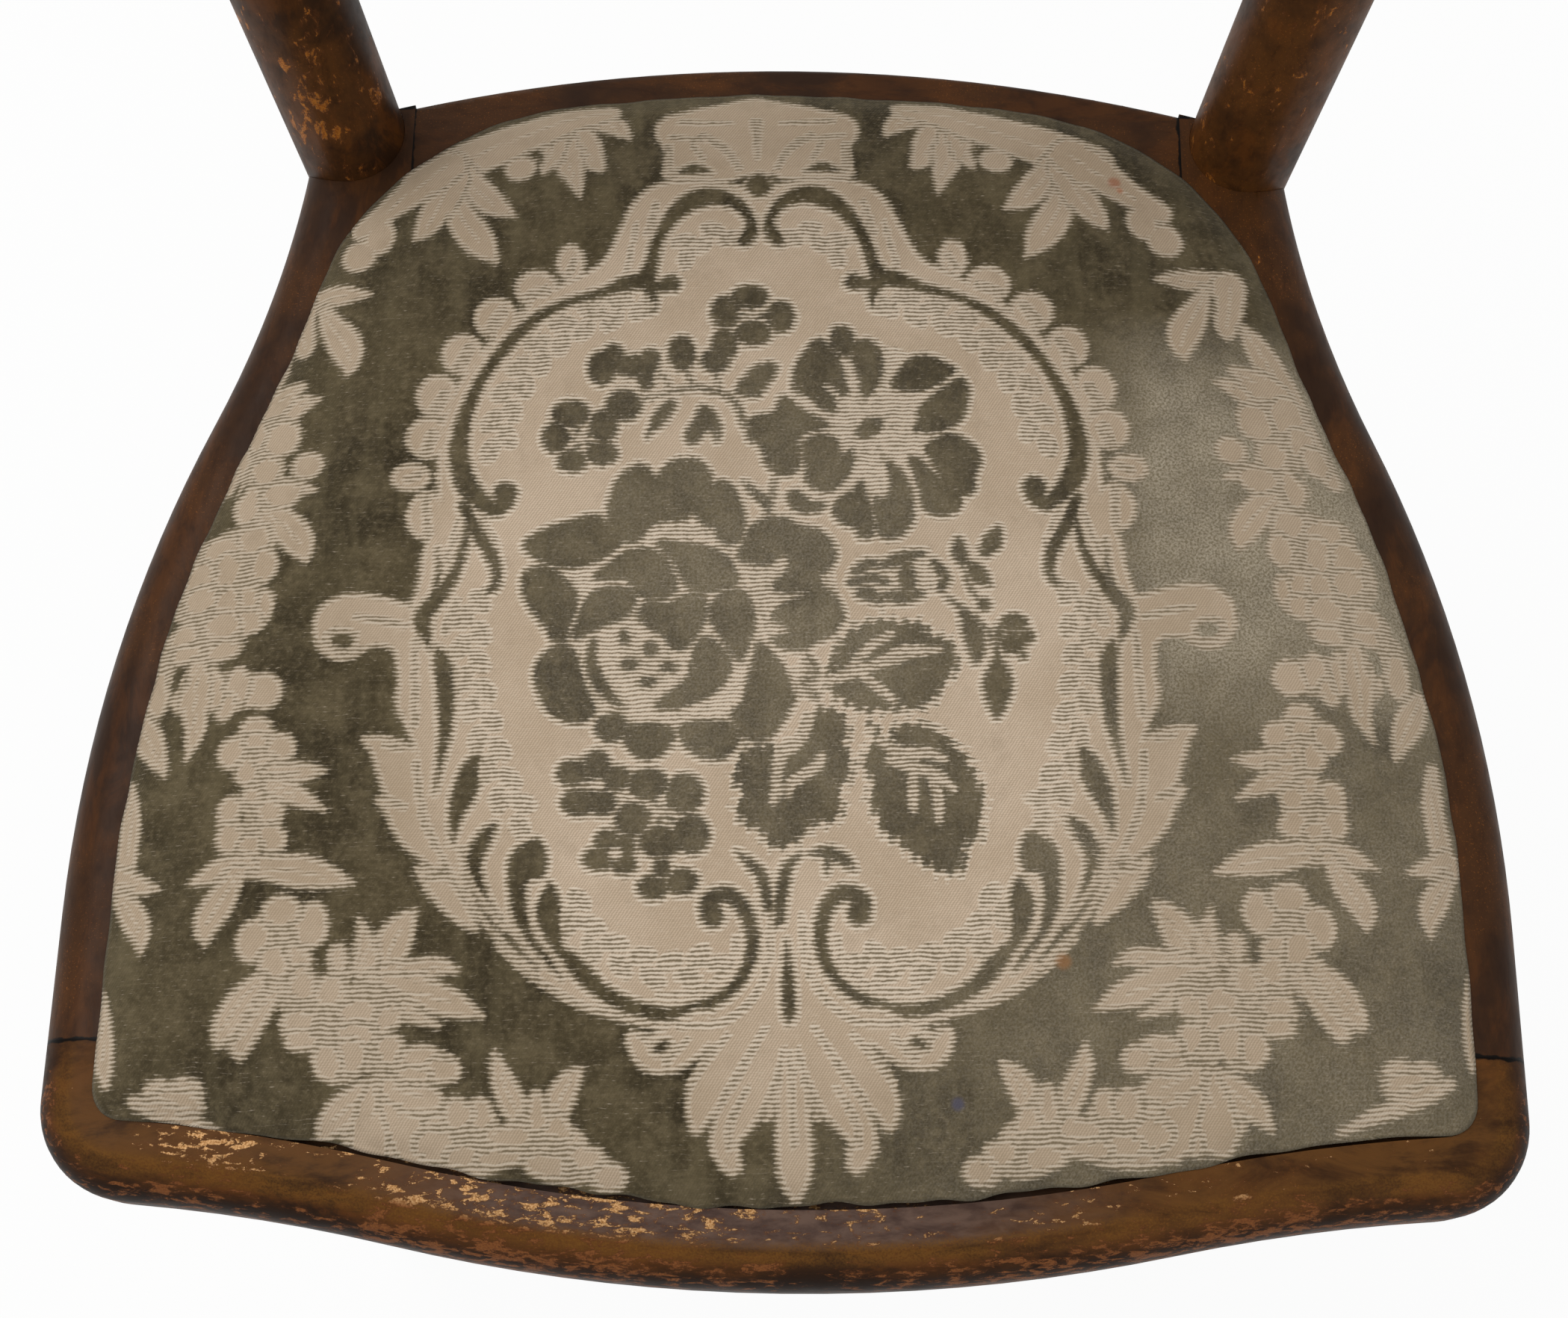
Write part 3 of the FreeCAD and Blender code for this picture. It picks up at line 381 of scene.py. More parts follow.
# %% Beech and steel
FLECK_WIDE, FLECK_LONG, RUST_MM = 1.1111, 16.667, 2.0
beech, tree, shader = material("unfinished beech, turned")
where = node(tree, "TexCoord", output="Object")
flecks_per_metre = (1000 / FLECK_WIDE, 1000 / FLECK_WIDE, 1000 / FLECK_LONG)
fleck = node(tree, "TexNoise", node(tree, "Mapping", where, None, None, flecks_per_metre), 1, 4, 0.6)
share = node(tree, "MapRange", fleck, 0.4, 0.7, **SOFT)
surface(tree, shader, {
    "Base Color": node(tree, "Mix", share, "#c9a27a", "#9a744f", **COLOUR),
    "Roughness": node(tree, "MapRange", fleck, 0.2, 0.8, 0.5, 0.7, **SOFT),
})
dress(beech, "front_joint_dowels", "back_joint_dowels")

steel, tree, shader = material("blued steel, cut and headed")
rust = node(tree, "TexNoise", node(tree, "TexCoord", output="Object"), 1000 / RUST_MM, 5, 0.65)
share = node(tree, "MapRange", rust, 0.5, 0.68, **SOFT)
surface(tree, shader, {
    "Base Color": node(tree, "Mix", share, "#3a3d42", "#5d3b26", **COLOUR),
    "Metallic": node(tree, "MapRange", rust, 0.45, 0.7, 0.95, 0.2, **SOFT),
    "Roughness": node(tree, "MapRange", rust, 0.4, 0.7, 0.34, 0.75, **SOFT),
})
dress(steel, "post_screws", "webbing_tacks")

# %% [markdown]
# ## The seat's padding
# The cover is stretched over a low pad that lies in a rebate of the frame. Its outline and height come
# from the CAD solid, so the velvet sits where that solid was. A square grid is spread over the plan: each
# square ring of the grid becomes a smaller copy of the outline, which keeps the cells even and ends on
# the true edge. At the back and sides the cloth laps the rails by a little under a millimetre. In front
# it stops just short of the rail, and there its raw edge waves most.

# %% Outline of the cover
def plan_outline(name, turns, middle):
    """How far a CAD node reaches from the middle in each direction of the plan, in metres."""
    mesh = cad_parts[name].data
    places = np.array([v.co[:2] for v in mesh.vertices]) - middle
    edges = np.array([e.vertices[:] for e in mesh.edges])
    a = places[edges[:, 0]]
    way = places[edges[:, 1]] - a
    reach = np.zeros(len(turns))
    for i, turn in enumerate(turns):
        d = np.array([math.cos(turn), math.sin(turn)])
        crossing = d[0] * way[:, 1] - d[1] * way[:, 0]
        usable = np.abs(crossing) > 1e-12
        safe = np.where(usable, crossing, 1)
        r = (a[:, 0] * way[:, 1] - a[:, 1] * way[:, 0]) / safe
        t = (a[:, 0] * d[1] - a[:, 1] * d[0]) / safe
        hits = usable & (t >= -1e-6) & (t <= 1 + 1e-6) & (r > 0)
        reach[i] = r[hits].max()
    return reach


CELLS = 300
HALF_WIDTH, HALF_DEPTH = 0.19, 0.172
CLEARANCE, LAP = 0.0002, 0.0013
# The middle of the figure lies this far in front of the middle of the cover
FIGURE_FORWARD = 0.005
low, high = (np.array(corner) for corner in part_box("seat_cover"))
middle = np.array([0.0, (low[1] + high[1]) / 2 - FIGURE_FORWARD])
rail_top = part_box("seat_front_rail")[1][2]
crown = high[2] - rail_top
side = np.linspace(-1, 1, CELLS + 1)
grid_a, grid_b = np.meshgrid(side, side)
ring = np.maximum(np.abs(grid_a), np.abs(grid_b))
turn = np.arctan2(grid_b * HALF_DEPTH, grid_a * HALF_WIDTH)
table_turns = np.linspace(-math.pi, math.pi, 721)
reach = np.interp(turn, table_turns, plan_outline("seat_cover", table_turns, middle))
in_front = np.clip((-np.sin(turn) - 0.55) / 0.2, 0, 1)
edge_wave = 2.0
for height, waves, phase in [(1, 9, 1), (1, 17, 2), (0.8, 41, 0), (0.6, 73, 3)]:
    edge_wave = edge_wave + height * np.sin(turn * waves + phase)
reach = reach - CLEARANCE + LAP - 0.0008 * in_front - (0.0002 + 0.00028 * in_front) * edge_wave
plan_x = middle[0] + ring * reach * np.cos(turn)
plan_y = middle[1] + ring * reach * np.sin(turn)
print("cover", [round(1000 * float(x)) for x in high - low], "mm, crown", round(1000 * float(crown), 1), "mm")

# %% [markdown]
# ## Stretching the cover over the pad
# Cloth simulation shapes the top: a coarse grid starts a little under the pad's crown, is pinned along
# its edge and blown up by a light pressure with no gravity. It stops where the pad would, because each
# point may rise by two millimetres at most. The coarse heights are then read onto the fine grid and
# smoothed.

# %% Simulate the cover
COARSE = 60
PRESSURE, FRAMES = 4, 20
START_BELOW = 0.002
MOST_DOWN, MOST_UP = -0.001, 0.002


def crown_share(distance):
    """Height of the pad, from 1 in its flat middle to 0 at its edge."""
    rise = np.clip((distance - 0.3) / 0.7, 0, 1)
    return np.sqrt(1 - rise ** 2) ** 0.7


def grid_faces(index):
    """The squares of a grid of point numbers."""
    corners = [index[:-1, :-1], index[:-1, 1:], index[1:, 1:], index[1:, :-1]]
    return np.stack(corners, -1).reshape(-1, 4).tolist()


pick = np.linspace(0, CELLS, COARSE + 1).astype(int)
coarse_x, coarse_y, coarse_ring = (table[np.ix_(pick, pick)] for table in (plan_x, plan_y, ring))
coarse_z = rail_top + (crown - START_BELOW) * crown_share(coarse_ring)
points = np.stack([coarse_x, coarse_y, coarse_z], -1).reshape(-1, 3)
index = np.arange((COARSE + 1) ** 2).reshape(COARSE + 1, COARSE + 1)
cloth_mesh = bpy.data.meshes.new("cloth grid")
cloth_mesh.from_pydata(points.tolist(), [], grid_faces(index))
cloth = bpy.data.objects.new("cloth grid", cloth_mesh)
scene.collection.objects.link(cloth)
rim = np.unique(np.concatenate([index[0], index[-1], index[:, 0], index[:, -1]]))
cloth.vertex_groups.new(name="rim").add(rim.tolist(), 1.0, "REPLACE")
settings = cloth.modifiers.new("cloth", "CLOTH").settings
settings.vertex_group_mass = "rim"
settings.use_pressure = True
settings.uniform_pressure_force = PRESSURE
settings.effector_weights.gravity = 0
settings.quality = 5
for number in range(1, FRAMES + 1):
    scene.frame_set(number)
shaped = cloth.evaluated_get(bpy.context.evaluated_depsgraph_get())
heights = np.array([v.co.z for v in shaped.data.vertices]).reshape(coarse_z.shape)
print("cloth moved by up to", round(1000 * float(np.abs(heights - coarse_z).max()), 2), "mm")
coarse_z = coarse_z + np.clip(heights - coarse_z, MOST_DOWN, MOST_UP)
scene.frame_set(1)
bpy.data.objects.remove(cloth)

# %% Smooth the cover
SMOOTHING_ROUNDS, SMOOTHING = 14, 0.9


def spread(table, size):
    """Reads a square table onto a finer square grid, then smooths it without moving its edge."""
    old = np.linspace(0, 1, len(table))
    new = np.linspace(0, 1, size)
    rows = np.array([np.interp(new, old, row) for row in table])
    fine = np.array([np.interp(new, old, column) for column in rows.T]).T
    for _ in range(SMOOTHING_ROUNDS):
        inner = fine[1:-1, 1:-1]
        around = fine[:-2, 1:-1] + fine[2:, 1:-1] + fine[1:-1, :-2] + fine[1:-1, 2:]
        inner += 0.25 * (around - 4 * inner) * SMOOTHING
    return fine


top_z = spread(coarse_z, CELLS + 1)
print("top of the cover", round(1000 * float(top_z.max() - rail_top), 1), "mm above the rails")

# %% [markdown]
# ## Drawing the velvet's figure
# The cloth is a figured cut velvet: dark olive pile stands on a pale twill ground, and the figure is a
# traditional one, a scrolled medallion with a bouquet, framed by garlands. An image would be the usual
# way to bring it in. It is drawn here instead, in millimetres from the middle of the cloth, which lies a
# little turned on the seat. The drawing is kept as a distance: how deep a point lies inside the pile,
# negative on the ground. Painting pile keeps the larger depth, painting ground the smaller one. Two more
# layers hold hatching, where single rows of pile alternate with ground, and shade. The figure is
# symmetrical apart from the bouquet, so most shapes are drawn once and show on both sides.

# %% The blank cloth
WEFT_TURN, WARP_TURN = math.radians(2.8), math.radians(1.5)
FIGURE_ASIDE = 4.7
from_x = (plan_x - middle[0]) * 1000 + FIGURE_ASIDE
from_y = (plan_y - middle[1]) * 1000
shear = math.cos(WARP_TURN) * math.cos(WEFT_TURN) + math.sin(WEFT_TURN) * math.sin(WARP_TURN)
across = ((from_x * math.cos(WEFT_TURN) + from_y * math.sin(WEFT_TURN)) / shear).ravel()
along = ((from_y * math.cos(WARP_TURN) - from_x * math.sin(WARP_TURN)) / shear).ravel()
ALL_PILE = 9.0
FIELD = {
    "u": across,
    "v": along,
    "both": np.abs(across),
    "depth": np.full(len(across), ALL_PILE),
    "hatch": np.zeros(len(across)),
    "shade": np.zeros(len(across)),
}
print("cloth", round(float(np.ptp(across))), "by", round(float(np.ptp(along))), "mm")

# %% [markdown]
# ## Shapes to draw with
# Three kinds of shape are enough: a stroke whose width changes, a closed outline and an oval. Each one
# gives back the points of the cloth near it and their distance from its edge, so that painting it stays
# quick.

# %% Shapes to draw with
REACH = 5.0


def curve(points, closed=False, steps=5):
    """Points along a smooth curve through given ones (Catmull-Rom)."""
    p = np.array(points, float)
    if closed:
        loop = np.vstack([p[-1:], p, p[:2]])
    else:
        loop = np.vstack([2 * p[:1] - p[1:2], p, 2 * p[-1:] - p[-2:-1]])
    t = np.linspace(0, 1, steps, endpoint=False)[:, None]
    runs = []
    for a, b, c, d in zip(loop, loop[1:], loop[2:], loop[3:]):
        runs.append(b + 0.5 * t * (c - a + t * (2 * a - 5 * b + 4 * c - d + t * (3 * (b - c) + d - a))))
    if not closed:
        runs.append(p[-1:])
    return np.vstack(runs)


def near(line, twin):
    """The points of the cloth close to a line, on both sides of the middle for a twin."""
    across = FIELD["both"] if twin else FIELD["u"]
    along = FIELD["v"]
    width = line[:, 2].max() if line.shape[1] > 2 else 0
    low = line[:, :2].min(0) - REACH - width
    high = line[:, :2].max(0) + REACH + width
    where = np.flatnonzero((across > low[0]) & (across < high[0]) & (along > low[1]) & (along < high[1]))
    return where, across[where], along[where]


def to_run(x, y, a, b):
    """Distance to a straight run, and how far along it the nearest point lies, from 0 to 1."""
    way = b[:2] - a[:2]
    share = np.clip(((x - a[0]) * way[0] + (y - a[1]) * way[1]) / max(way @ way, 1e-9), 0, 1)
    return np.hypot(x - a[0] - share * way[0], y - a[1] - share * way[1]), share


def stroke(points, twin=False):
    """A stroke of changing width: points are (across, along, half width)."""
    line = curve(points)
    where, x, y = near(line, twin)
    distance = np.full(len(where), REACH)
    for a, b in zip(line, line[1:]):
        gap, share = to_run(x, y, a, b)
        distance = np.minimum(distance, gap - a[2] - share * (b[2] - a[2]))
    return where, distance


def area(points, twin=False):
    """A closed smooth outline."""
    line = curve(points, closed=True)
    where, x, y = near(line, twin)
    distance = np.full(len(where), 2 * REACH)
    inside = np.zeros(len(where), bool)
    for a, b in zip(line, np.roll(line, -1, axis=0)):
        distance = np.minimum(distance, to_run(x, y, a, b)[0])
        if a[1] != b[1]:
            crossed = (a[1] > y) != (b[1] > y)
            inside ^= crossed & (x < a[0] + (y - a[1]) / (b[1] - a[1]) * (b[0] - a[0]))
    return where, np.where(inside, -distance, distance)


def oval(across, along, half_width, half_height, turn=0, twin=False):
    """An oval, turned by some degrees."""
    a = np.radians(turn)
    turns = np.radians(np.arange(0, 360, 30))
    x = half_width * np.cos(turns)
    y = half_height * np.sin(turns)
    points = np.stack([across + x * np.cos(a) - y * np.sin(a), along + x * np.sin(a) + y * np.cos(a)], 1)
    return area(points, twin)


print("a 10 mm disc covers", int((oval(0, 0, 5, 5)[1] < 0).sum()), "points of the cloth")

# %% [markdown]
# ## Ways to paint
# The weaver has dark pile, pale ground and rows of both. Petals that lie over one another are parted by a
# thin hatched line, and leaves have a hatched midrib. The flowers of a garland are pale petals on a
# hatched ground.

# %% Ways to paint
SOFT_EDGE = 0.5
LINE_PLACE, LINE_HALF = 0.8, 0.85
FLOWER_SHRINK = 0.87


def pile(shape, grow=0.0):
    """Dark pile, grown by some millimetres."""
    where, distance = shape
    FIELD["depth"][where] = np.maximum(FIELD["depth"][where], grow - distance)


def ground(shape):
    """Pale ground."""
    where, distance = shape
    FIELD["depth"][where] = np.minimum(FIELD["depth"][where], distance)


def hatch(shape, share=1.0):
    """Rows of pile and ground by turns."""
    where, distance = shape
    FIELD["hatch"][where] = np.maximum(FIELD["hatch"][where], share * np.clip(SOFT_EDGE - distance, 0, 1))


def shade(shape, share=0.5):
    """Half tone that darkens only the ground, as between the petals of one flower."""
    where, distance = shape
    FIELD["shade"][where] = np.maximum(FIELD["shade"][where], share * np.clip(SOFT_EDGE - distance, 0, 1))


def petal_on(shape):
    """Pale petal that lies over those painted before it, parted from them by a thin hatched line."""
    where, distance = shape
    line = np.clip(1.6 - np.abs(distance - LINE_PLACE) / LINE_HALF, 0, 1) * (FIELD["depth"][where] < -0.3)
    FIELD["hatch"][where] = np.where(distance < 0, 0, np.maximum(FIELD["hatch"][where], line))
    ground(shape)


def leaf_on(points):
    """Pale leaf with a hatched midrib, painted like a petal."""
    petal_on(stroke(points, twin=True))
    hatch(stroke([(x, y, min(0.35, 0.12 * w)) for x, y, w in points[:-1]], twin=True))


def flowers_on(hatched, petals):
    """Garland flowers: pale petals that lie on a hatched ground."""
    for x, y, half_width, half_height in hatched:
        shape = oval(x, y, FLOWER_SHRINK * half_width, FLOWER_SHRINK * half_height, twin=True)
        ground(shape)
        hatch(shape)
    for spot in petals:
        petal_on(oval(*spot, twin=True))


def lobed(shape, depth=1.0, pitch=5.5):
    """Breaks a shape's edge into small lobes."""
    where, distance = shape
    x = FIELD["u"][where] * (2 * math.pi / pitch)
    y = FIELD["v"][where] * (2 * math.pi / pitch)
    return where, distance + depth * (np.sin(x + 0.6 * y) * np.sin(y - 0.4 * x) + 0.2)


def drawn(motif):
    """Tells how much of the cloth is still pile."""
    print(motif, "drawn, pile on", round(100 * float((FIELD["depth"] > 0).mean())), "% of the cloth")


drawn("nothing")

# %% [markdown]
# ## The medallion
# The middle of the cloth is a pale shield. Its border is a scroll: scallops at the top, a volute on each
# side, acanthus leaves below, and dark lines that part one from the next. It is painted from large to
# small: the shield, then what stands out from its edge, then the dark lines on it.

# %% The medallion
def medallion():
    # Outer edge of the pale border, top to bottom
    ground(area([
        (-12, 136), (5, 139), (12, 141), (22, 141.5), (30, 140.5), (35.5, 137.5), (40, 131.5), (43, 124),
        (46, 117), (50, 111.5), (58, 107), (66, 102), (74, 95.5), (82, 87), (89, 78), (94, 69), (97, 60),
        (98, 50), (98, 42), (98, 35), (100, 27), (102, 18), (103, 10), (105, 3), (108, -5), (109.5, -12),
        (108.5, -21), (109, -28), (105.5, -36), (103, -43), (102, -52), (100, -62), (96, -71),
        (91.5, -80), (86, -88.5), (79, -97.5), (71, -105.5), (61, -112), (50, -117), (40, -120),
        (30, -123), (14, -128), (-12, -128),
    ], twin=True))
    # Scalloped edge
    for across, along, half_width, half_height in [
        (58.3, 112.5, 4.2, 6.3), (68.5, 103.5, 6.5, 6.2), (81, 94, 6.4, 6.6), (91, 82, 6.2, 6.6),
        (98.3, 68.5, 6.2, 7), (101, 55, 6.5, 6.5), (106, 42.5, 5.8, 4.3), (101, 30, 6, 7.5),
    ]:
        ground(oval(across, along, half_width, half_height, twin=True))
    # Volute and the leaves on the outer side of the stem
    for outline in [
        [(104, 1), (108, 3), (114, 5), (122, 6.2), (128.5, 4.8), (132.5, 1), (133.5, -5), (131.5, -10.5),
         (126.5, -14), (121, -13.2), (117, -10.5), (112, -10.5), (109, -12.5), (103, -12)],
        [(100, -44), (106, -39.5), (112, -37.2), (118.5, -37.5), (116, -42), (114, -48), (111.5, -54.5),
         (106, -58), (99, -60)],
        [(100, -57), (107, -56), (114, -55.2), (111, -60.5), (108.5, -66), (103.5, -71.5), (95, -76)],
        [(92, -80), (97, -76.5), (102.5, -75.2), (100.5, -80.5), (96.5, -86), (91, -91), (85, -93)],
    ]:
        ground(area(outline, twin=True))
    # Dark lines inside the border
    for line in [
        [(5.5, 119.5, 2.6), (3.2, 122, 2.6), (3, 127, 1.8), (7, 132.5, 2.4), (13, 135.3, 3.2),
         (19, 134.5, 3.8), (25, 130.5, 3), (29, 125, 2.4), (32, 118.5, 2.1), (33.5, 112, 2.3),
         (35.5, 106, 3.2)],
        [(35, 105.5, 3.2), (41, 105, 3), (48, 102.2, 2), (56, 100, 1.7), (63, 97, 1.8), (70, 92.5, 2.2),
         (77, 85.5, 2.3), (82.5, 78, 2), (87, 70, 2.1), (90, 62, 2.5), (91.5, 54, 3), (91.5, 47, 3.3),
         (89.5, 40, 3.6), (86, 35, 3.2), (82, 31.5, 2.5)],
        [(85, 33.5, 2.2), (81.5, 31, 2.4), (78.5, 33, 3), (77.8, 36.5, 3.8)],
        [(34, 104, 2.5), (31, 103.5, 2), (27.8, 104.6, 3.2)],
        [(35, 104, 2.5), (33.2, 100, 1.7), (34.6, 96.8, 2.6)],
        [(90, 33, 2), (86.5, 25, 2.2), (82.5, 18.5, 2.4), (80.3, 12, 1.8), (81, 7.5, 1.6), (84, 5.2, 1)],
        [(88.5, 30, 1.2), (90, 20, 1.5), (93, 11, 1.9), (97.5, 4, 2.6), (101.5, -1.5, 2.8),
         (101, -6.5, 2), (99, -12, 0.5)],
        [(98.5, 4, 1.5), (97.2, 11, 1.1), (97.6, 20, 0.3)],
        [(97.5, -10.5, 0.4), (96, -15, 2.6), (94.8, -22, 3), (94.6, -30, 2.6), (94.8, -37, 2),
         (96, -45, 1.2), (97.5, -54, 0.5)],
        [(85.5, -43.5, 1.2), (87, -48, 3.4), (89.5, -55, 3.6), (91.5, -61, 2.2), (92.5, -69, 0.4)],
        [(80.5, -63.5, 0.8), (83.5, -67.5, 2.6), (86.5, -74, 2.6), (85.5, -81, 2.4), (82, -88.5, 2),
         (76.5, -96, 1.4), (69, -104, 0.6)],
    ]:
        pile(stroke(line, twin=True))
    pile(area([(69, -67.3), (74, -69.5), (77, -74), (77, -82), (76, -89), (72.5, -96), (68, -101.5),
               (62, -107), (65, -101), (70, -94), (71.5, -86), (71, -80.5), (67, -79), (65.5, -74.5),
               (66.5, -70)], twin=True))
    pile(area([(65, -80), (68, -83.5), (69.5, -88), (67.5, -95), (63, -101.5), (57, -106), (50, -111),
               (52, -106), (58, -100), (61.5, -97.5), (61.5, -90), (62.5, -84)], twin=True))
    pile(stroke([(60, -103, 1.6), (55, -107.5, 2.4), (48, -112.6, 2.4), (40, -116, 2.3), (32, -117, 2.2),
                 (25, -115.4, 2), (18, -112.3, 1.9), (12.5, -107, 1.9), (9.8, -100.5, 2.1),
                 (9.6, -94, 2.2), (12, -87.5, 2.5), (16.5, -84.2, 2.6), (20.8, -86.2, 3),
                 (20.3, -90.3, 3.6)], twin=True))
    pile(stroke([(0, -97, 0.3), (0, -104, 1.6), (0, -114, 2.2), (0, -120, 1.6), (0, -127, 0.4)], twin=True))
    # Eyes of the volutes
    pile(oval(125, -8.3, 3, 1.9, twin=True), 0.9)


medallion()
drawn("the medallion")

# %% [markdown]
# ## The palmettes
# A fan crowns the medallion, and an acanthus leaf hangs below it. Each lobe of the acanthus is one
# tapering stroke, because a stroke keeps its middle line and its width apart.

# %% The palmettes
def palmettes():
    # Fan over the top of the medallion
    ground(area([(-8, 143), (4, 143), (10, 141), (28, 142), (29, 148), (29, 154), (31.5, 159),
                 (31.5, 164.5), (28, 168), (22, 170), (13, 173), (-8, 176)], twin=True))
    pile(area([(-6, 139.3), (0, 134.5), (4.6, 139.3), (0, 144.2)], twin=True))
    pile(area([(14.5, 144), (17, 147), (20, 148.3), (23, 147), (25.5, 144)], twin=True))
    # Acanthus below it
    for line in [
        [(0, -126, 6), (0, -140, 4.6), (0, -153, 4.8), (0, -160, 4.2), (0.5, -166, 0.6)],
        [(4, -122, 4), (10, -136, 5), (15.5, -145, 5.5), (18.5, -152, 4.2), (17, -157, 2.6)],
        [(12, -122, 5), (19, -132, 5.6), (24.5, -140.5, 4.4), (26.3, -147, 1.8)],
        [(24, -121, 5), (32, -126, 6), (38, -127.5, 4.8), (42.5, -124, 2.4)],
    ]:
        ground(stroke(line, twin=True))
    pile(oval(35.2, -125.8, 3, 1.7, -25, twin=True))
    pile(stroke([(9.5, -146, 0.4), (11.5, -150, 1.6), (13.2, -152.3, 2)], twin=True))


palmettes()
drawn("the palmettes")

# %% [markdown]
# ## The side garlands
# Sprays of leaves and small flowers hang down both sides, from the back corners to the front. As on the
# real cloth, later leaves lie over earlier ones, so the order of the lists matters.

